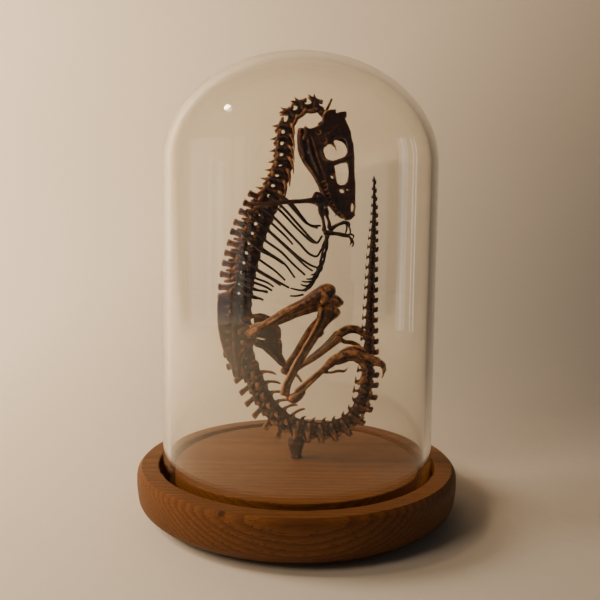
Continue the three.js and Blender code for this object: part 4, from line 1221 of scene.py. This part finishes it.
def right_leg():
    side = -9
    thigh = [
        tube([(-22, -6.8, 57, 2.0), (-19.6, -8.4, 58.8, 2.0), (-14, side, 62, 1.9), (-6, -9.6, 67, 2.2),
              (2, -9.8, 71.2, 2.4), (8, -9.9, 75, 2.9), (11.8, -9.9, 76.8, 3.2)]),
        tube([(-19, -8.8, 58.6, 0.9), (-12, -10.6, 63.2, 0.8), (-3, -11.3, 69, 0.8), (6, -11.8, 74.2, 0.9),
              (9, -12, 76.6, 1.0)]),
        tube([(8.6, -10, 76.6, 2.0), (11.6, -9.8, 78.2, 2.0), (14, -9.6, 77.4, 2.0), (13.8, -9.6, 75, 1.8)]),
        tube([(9.6, -11.6, 77, 1.4), (11.2, -12, 74.4, 1.7), (10.4, -11.8, 72.4, 1.6)]),
        tube([(10, -8, 76, 1.6), (12.6, -7.6, 74.4, 1.8), (12.8, -7.8, 73, 1.4)]),
        tube([(-20.6, -8, 60.4, 1.1), (-17.4, -8.8, 61.8, 1.0)]),
    ]
    cast("thigh_right", thigh, wear_and_shade=1.1, rough=0.2, seed=41)
    shin = [
        tube([(12.6, side, 69.4, 2.9), (12.2, side, 66.6, 2.7), (9.4, -9.2, 60.8, 2.0),
              (5.6, -9.6, 54.2, 1.75),
              (1.4, -9.6, 47, 1.6), (-2.4, -9.4, 39.4, 1.45), (-4.6, -9.2, 34.4, 1.55),
              (-5.2, side, 31.6, 1.8)]),
        tube([(9.6, -10.6, 69, 1.4), (9.4, -10.8, 66, 1.0), (7, -11, 60.6, 0.8), (2.6, -11, 52.4, 0.75),
              (-2.4, -10.6, 43, 0.75), (-6, -10.2, 35, 0.9), (-6.8, -9.8, 31.6, 1.1)]),
        slab([(9.4, 70.6), (13.8, 71), (17.6, 69), (18.3, 67.4), (17.2, 65.6), (14.6, 63.6), (12.6, 61.8),
              (11.2, 59.8), (10.2, 57), (9.2, 56.6), (8.6, 58.4), (8.2, 62), (8, 66)], -8.6, 2.2),
        tube([(15.6, side, 68.2, 1.8), (17.2, side, 67.4, 1.3)]),
        tube([(9.8, side, 70, 1.4), (13, -9.2, 70, 1.5), (16, -8.8, 68.8, 1.3)]),
        tube([(10.6, -9.4, 58.6, 0.8), (9.4, -9.4, 56.8, 0.5)]),
    ]
    cast("shin_right", shin, wear_and_shade=1.1, seed=43)
    instep = []
    for offset in (-1.5, 0, 1.5):
        instep.append(
            tube([(-3.2 + abs(offset) * 0.3, side + offset, 29.6, 1.5),
                  (1, side + offset, 32.2 - offset * 0.2, 1.2),
                  (6, side + offset * 1.1, 37 - offset * 0.3, 1.05),
                  (11, side + offset * 1.3, 42 - offset * 0.5, 1.1),
                  (15.6, side + offset * 1.5, 46.4 - offset * 0.7, 1.7),
                  (17, side + offset * 1.5, 47.4 - offset * 0.7, 1.6)])
        )
    instep += [
        tube([(-4.4, side, 29.4, 1.0), (-2, side, 28, 1.1), (1.4, side, 30.4, 1.1), (2.8, side, 32.2, 0.9)]),
        tube([(-1, -10.6, 33, 0.7), (4, -11, 37.6, 0.6), (10, -11.4, 43, 0.6), (14.6, -11.6, 47.6, 0.8)]),
        tube([(11, -7.2, 40.8, 0.7), (14.4, -6.8, 40.6, 0.6), (18, -6.6, 41.3, 0.75), (20.6, -6.6, 41.3, 0.6),
              (22.2, -6.6, 43.2, 0.15)]),
    ]
    cast("instep_right", instep, wear_and_shade=1.1, seed=45)
    foot = [
        tube([(17.2, -10.6, 48, 1.9), (20, -11, 49.4, 1.5), (23.6, -11.2, 50.4, 1.7), (27, -11, 49.4, 1.4),
              (31, -10.6, 48.2, 1.5), (34.6, -10.4, 46.4, 1.9)]),
        tube([(34.4, -10.4, 46.2, 2.0), (36.6, -10.4, 45.2, 1.5), (37.5, -10.4, 42.4, 0.95),
              (37.1, -10.4, 40.2, 0.5),
              (36.4, -10.4, 38.5, 0.15)], flat=0.6),
        tube([(17.4, -8.6, 47, 1.8), (20.6, -8.6, 48, 1.4), (24.4, -8.6, 47.6, 1.6), (27.6, -8.6, 45.4, 1.3),
              (29.2, -8.6, 42, 1.4), (29, -8.6, 38.6, 1.2)]),
        tube([(29.2, -8.6, 38.4, 1.3), (27.6, -8.6, 36.6, 0.9), (24.4, -8.6, 36.0, 0.15)], flat=0.7),
        tube([(17, -6.4, 45.4, 1.6), (19.6, -6.2, 45.6, 1.2), (22.8, -6, 46.8, 1.3), (26, -5.8, 46.2, 1.1),
              (28.4, -5.8, 43.4, 0.9), (28.6, -5.8, 41.6, 0.2)]),
        tube([(18.6, -9.8, 50.2, 1.0), (23.4, -10, 52.2, 1.1), (26.4, -10, 52.4, 1.0), (29, -10, 50.6, 0.9)]),
    ]
    cast("foot_right", foot, wear_and_shade=1.1, rough=0.3, seed=47)


def left_leg():
    side = 9
    thigh = [
        tube([(-22, 6.8, 56.6, 2.0), (-19, 8.4, 57.6, 2.0), (-10, side, 61.4, 2.1), (0, 9.6, 65.8, 2.4),
              (8, 9.8, 68.8, 2.8), (14.4, 9.8, 71.2, 2.8)]),
        tube([(12.6, 10.6, 72, 1.9), (17, 10.6, 72.2, 1.8), (19.8, 10.4, 70.2, 1.4)]),
        tube([(13, 8.2, 71, 1.8), (17, 8, 70.4, 1.8), (18.6, 8.2, 69.2, 1.2)]),
    ]
    cast("thigh_left", thigh, wear_and_shade=1.1, rough=0.2, seed=51)
    shin = [
        tube([(15, side, 65.4, 2.6), (12.6, 9.2, 63.6, 2.4), (6.6, 9.6, 58.6, 1.9), (1, 9.6, 49.8, 1.6),
              (-3.6, 9.4, 42.8, 1.6), (-5.4, side, 40.2, 2.0)]),
        tube([(12, 10.8, 65, 1.2), (5.6, 11, 59, 0.8), (-2, 10.8, 46.4, 0.8), (-6.2, 10, 39.6, 1.1)]),
        tube([(-6.8, side, 38.4, 1.7), (-4.2, side, 37.2, 1.6)]),
    ]
    cast("shin_left", shin, wear_and_shade=1.1, seed=53)
    instep = []
    for offset in (-1.5, 0, 1.5):
        instep.append(
            tube([(-3 + abs(offset) * 0.3, side + offset, 38, 1.4), (2, side + offset, 41.2, 1.25),
                  (8, side + offset * 1.1, 45.4 + offset * 0.3, 1.3),
                  (14, side + offset * 1.3, 50.4 + offset * 0.5, 1.4),
                  (18.4, side + offset * 1.5, 54.6 + offset * 0.7, 1.8)])
        )
    instep.append(tube([(-1.4, 7.6, 37.4, 0.8), (0.4, 7.4, 35.4, 0.7), (1.6, 7.4, 33.6, 0.6)]))
    cast("instep_left", instep, wear_and_shade=1.1, seed=55)
    foot = [
        tube([(19.6, 7, 56.8, 1.9), (23, 6.6, 58.8, 1.6), (27, 6.4, 58.6, 1.5), (30.6, 6.4, 56.4, 1.3),
              (33, 6.4, 52.6, 1.2), (33.6, 6.4, 49, 0.2)]),
        tube([(19.4, 8.8, 55.6, 1.8), (23.4, 8.8, 57.6, 1.6), (28, 8.8, 57, 1.5), (32.4, 8.8, 54, 1.3),
              (34.8, 8.8, 49.4, 1.2), (35.6, 8.8, 45.4, 0.2)]),
        tube([(18.8, 10.6, 54, 1.6), (21.6, 11, 52, 1.1), (25, 11.2, 51.4, 1.1), (28.6, 11.2, 50, 0.9),
              (30, 11.2, 47, 0.2)]),
    ]
    cast("foot_left", foot, wear_and_shade=1.1, rough=0.3, seed=57)


right_leg()
left_leg()

# ---------------------------------------------------------------------------------------------
# Glass dome: one blown bell of clear soda-lime glass, open below, with a plain rounded rim. It
# stands loose in the groove, and lifts straight up by hand.
DOME_SIDES = 192
CAP_HEIGHT = 47.3 * MM
WAVE = 0.12 * MM


def clear_glass():
    """Clear blown glass: smooth and colourless, seen by its pale rims and by soft reflections."""
    made = bpy.data.materials.new("clear_blown_glass")
    made.use_nodes = True
    tree = made.node_tree
    shader = tree.nodes["Principled BSDF"]
    shader.inputs["Base Color"].default_value = linear("#FBF9F3")
    shader.inputs["Roughness"].default_value = 0.0
    shader.inputs["IOR"].default_value = 1.5
    shader.inputs["Transmission Weight"].default_value = 1.0
    # Light passes straight through to the bones, so that they don't sit in a false shadow.
    passing = add(tree, "ShaderNodeBsdfTransparent").outputs[0]
    shadow = add(tree, "ShaderNodeLightPath").outputs["Is Shadow Ray"]
    mixed = add(tree, "ShaderNodeMixShader", {0: shadow, 1: shader.outputs[0], 2: passing}).outputs[0]
    tree.links.new(mixed, tree.nodes["Material Output"].inputs["Surface"])
    return made


def glass_dome():
    low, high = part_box("glass_dome")
    rim, top, radius = low[2], high[2], high[0]
    shoulder = top - CAP_HEIGHT
    steps = 40
    quarter = [math.pi / 2 * k / steps for k in range(steps + 1)]
    lip = DOME_WALL / 2
    outer = [(radius, rim + 1.5 * lip), (radius, shoulder)]
    outer += [(radius * math.cos(a), shoulder + CAP_HEIGHT * math.sin(a)) for a in quarter[1:-1]] + [(0, top)]
    inner_r, inner_cap = radius - DOME_WALL, CAP_HEIGHT - DOME_WALL
    inner = [(0, top - DOME_WALL)]
    inner += [(inner_r * math.cos(a), shoulder + inner_cap * math.sin(a)) for a in quarter[-2:0:-1]]
    inner += [(inner_r, shoulder), (inner_r, rim + 1.5 * lip)]
    turn = [math.pi * k / 8 for k in range(1, 8)]
    edge = [(inner_r + lip - lip * math.cos(a), rim + lip - lip * math.sin(a)) for a in turn]
    mesh = turned("dome_blown", [*inner, *edge, *outer], DOME_SIDES, sharp=80)
    for vert in mesh.vertices:
        swell = noise.noise(Vector((vert.co.x, vert.co.y, vert.co.z * 0.35)) / (38 * MM))
        flat = Vector((vert.co.x, vert.co.y, 0))
        if flat.length > 1 * MM:
            vert.co -= flat.normalized() * WAVE * (0.5 + 0.5 * swell)
    shown("dome_blown", mesh, clear_glass(), "dome", ["glass_dome"])


glass_dome()

# ---------------------------------------------------------------------------------------------
# Studio: a pale, warm sweep of floor and wall, plain soft lights, and the camera.


def pale_sweep():
    """Painted plaster: matt and warm, with a faint roller texture, and painted shade that greys it towards
    the lower right.
    """
    made = bpy.data.materials.new("plaster_with_painted_shade")
    made.use_nodes = True
    tree = made.node_tree
    shader = tree.nodes["Principled BSDF"]
    shader.inputs["Roughness"].default_value = 0.85
    place = add(tree, "ShaderNodeTexCoord").outputs["Object"]
    # Painted shade: the plaster's colour greys towards the right and the bottom, away from the lamps, on top
    # of the falloff the lamps give.
    away = add(tree, "ShaderNodeVectorMath", {0: place, 1: (1, 0, -1.2)},
               operation="DOT_PRODUCT").outputs["Value"]
    painted_shade = add(tree, "ShaderNodeMapRange", {0: away, 1: -0.3, 2: 0.3, 3: 0, 4: 1}).outputs[0]
    colour = add(
        tree, "ShaderNodeMix", {0: painted_shade, 6: linear("#E8D8BE"), 7: linear("#8C857C")}, data_type="RGBA"
    ).outputs[2]
    tree.links.new(colour, shader.inputs["Base Color"])
    roller = add(tree, "ShaderNodeTexNoise",
                 {"Vector": place, "Scale": 1 / (6 * MM), "Detail": 3.0}).outputs[0]
    bump = add(tree, "ShaderNodeBump", {"Height": roller, "Strength": 0.25, "Distance": 0.6 * MM}).outputs[0]
    tree.links.new(bump, shader.inputs["Normal"])
    return made


def studio():
    half, front, back, height, curve = 1.6, -1.2, 0.42, 1.6, 0.25
    steps = 24
    line = [(front, 0.0), (back - curve, 0.0)]
    line += [
        (back - curve + curve * math.sin(a), curve - curve * math.cos(a))
        for a in (math.pi / 2 * k / steps for k in range(1, steps + 1))
    ]
    line.append((back, height))
    verts = [(x, y, z) for y, z in line for x in (-half, half)]
    faces = [(2 * k, 2 * k + 1, 2 * k + 3, 2 * k + 2) for k in range(len(line) - 1)]
    mesh = bpy.data.meshes.new("sweep")
    mesh.from_pydata(verts, [], faces)
    for face in mesh.polygons:
        face.use_smooth = True
    sweep = bpy.data.objects.new("sweep", mesh)
    mesh.materials.append(pale_sweep())
    bpy.context.collection.objects.link(sweep)

    world = bpy.data.worlds.new("soft_room")
    bpy.context.scene.world = world
    world.use_nodes = True
    world.node_tree.nodes["Background"].inputs[0].default_value = linear("#D3D5DA")
    world.node_tree.nodes["Background"].inputs[1].default_value = 0.07

    aim = Vector((0, 0, 0.09))
    # Each lamp: its place, its size, its power, its colour, and whether the glass mirrors it.
    lamps = {
        "key_lamp": ((-0.66, -0.52, 0.62), (0.3, 0.3), 4.6, "#FFE9D2", False),
        "wall_lamp": ((-0.66, 0.04, 0.46), (0.3, 0.3), 7.5, "#FFEEDC", False),
        "shoulder_lamp": ((-0.51, -0.12, 0.67), (0.06, 0.05), 1.3, "#FFE2BC", True),
        "left_panel": ((-0.75, -0.2, 0.1), (0.6, 0.6), 0.9, "#FFF0E0", True),
        "left_strip": ((-0.6, -0.55, 0.12), (0.12, 0.6), 0.16, "#FFF1DE", True),
        "left_thread": ((-0.5, -0.62, 0.12), (0.01, 0.6), 0.02, "#FFF1DE", True),
        "right_panel": ((0.75, -0.04, 0.12), (0.09, 0.6), 0.22, "#E4EAF2", True),
        "right_strip": ((0.72, 0.14, 0.12), (0.02, 0.6), 0.1, "#E4EAF2", True),
    }
    for name, (place, (width, length), power, colour, mirrored) in lamps.items():
        data = bpy.data.lights.new(name, "AREA")
        data.shape = "RECTANGLE"
        data.size, data.size_y = width, length
        data.energy = power
        data.color = linear(colour)[:3]
        lamp = bpy.data.objects.new(name, data)
        lamp.location = place
        lamp.visible_glossy = mirrored
        lamp.visible_transmission = mirrored
        lamp.rotation_euler = (aim - Vector(place)).to_track_quat("-Z", "Y").to_euler()
        bpy.context.collection.objects.link(lamp)


def camera():
    distance, eye, pitch, yaw, roll = 0.29146, 0.11465, 4.3, 0.1, 0.74
    p, w, r = math.radians(pitch), math.radians(yaw), math.radians(roll)
    ahead = Vector((math.sin(w) * math.cos(p), math.cos(w) * math.cos(p), -math.sin(p)))
    right = ahead.cross(Vector((0, 0, 1))).normalized()
    up = right.cross(ahead)
    turned_right = math.cos(r) * right + math.sin(r) * up
    turned_up = -math.sin(r) * right + math.cos(r) * up
    data = bpy.data.cameras.new("camera")
    data.lens, data.sensor_width = 39, 36
    data.clip_start = 0.01
    made = bpy.data.objects.new("camera", data)
    bpy.context.collection.objects.link(made)
    made.matrix_world = Matrix.Translation((0, -distance, eye)) @ Matrix(
        (turned_right, turned_up, -ahead)
    ).transposed().to_4x4()
    bpy.context.scene.camera = made


studio()
camera()
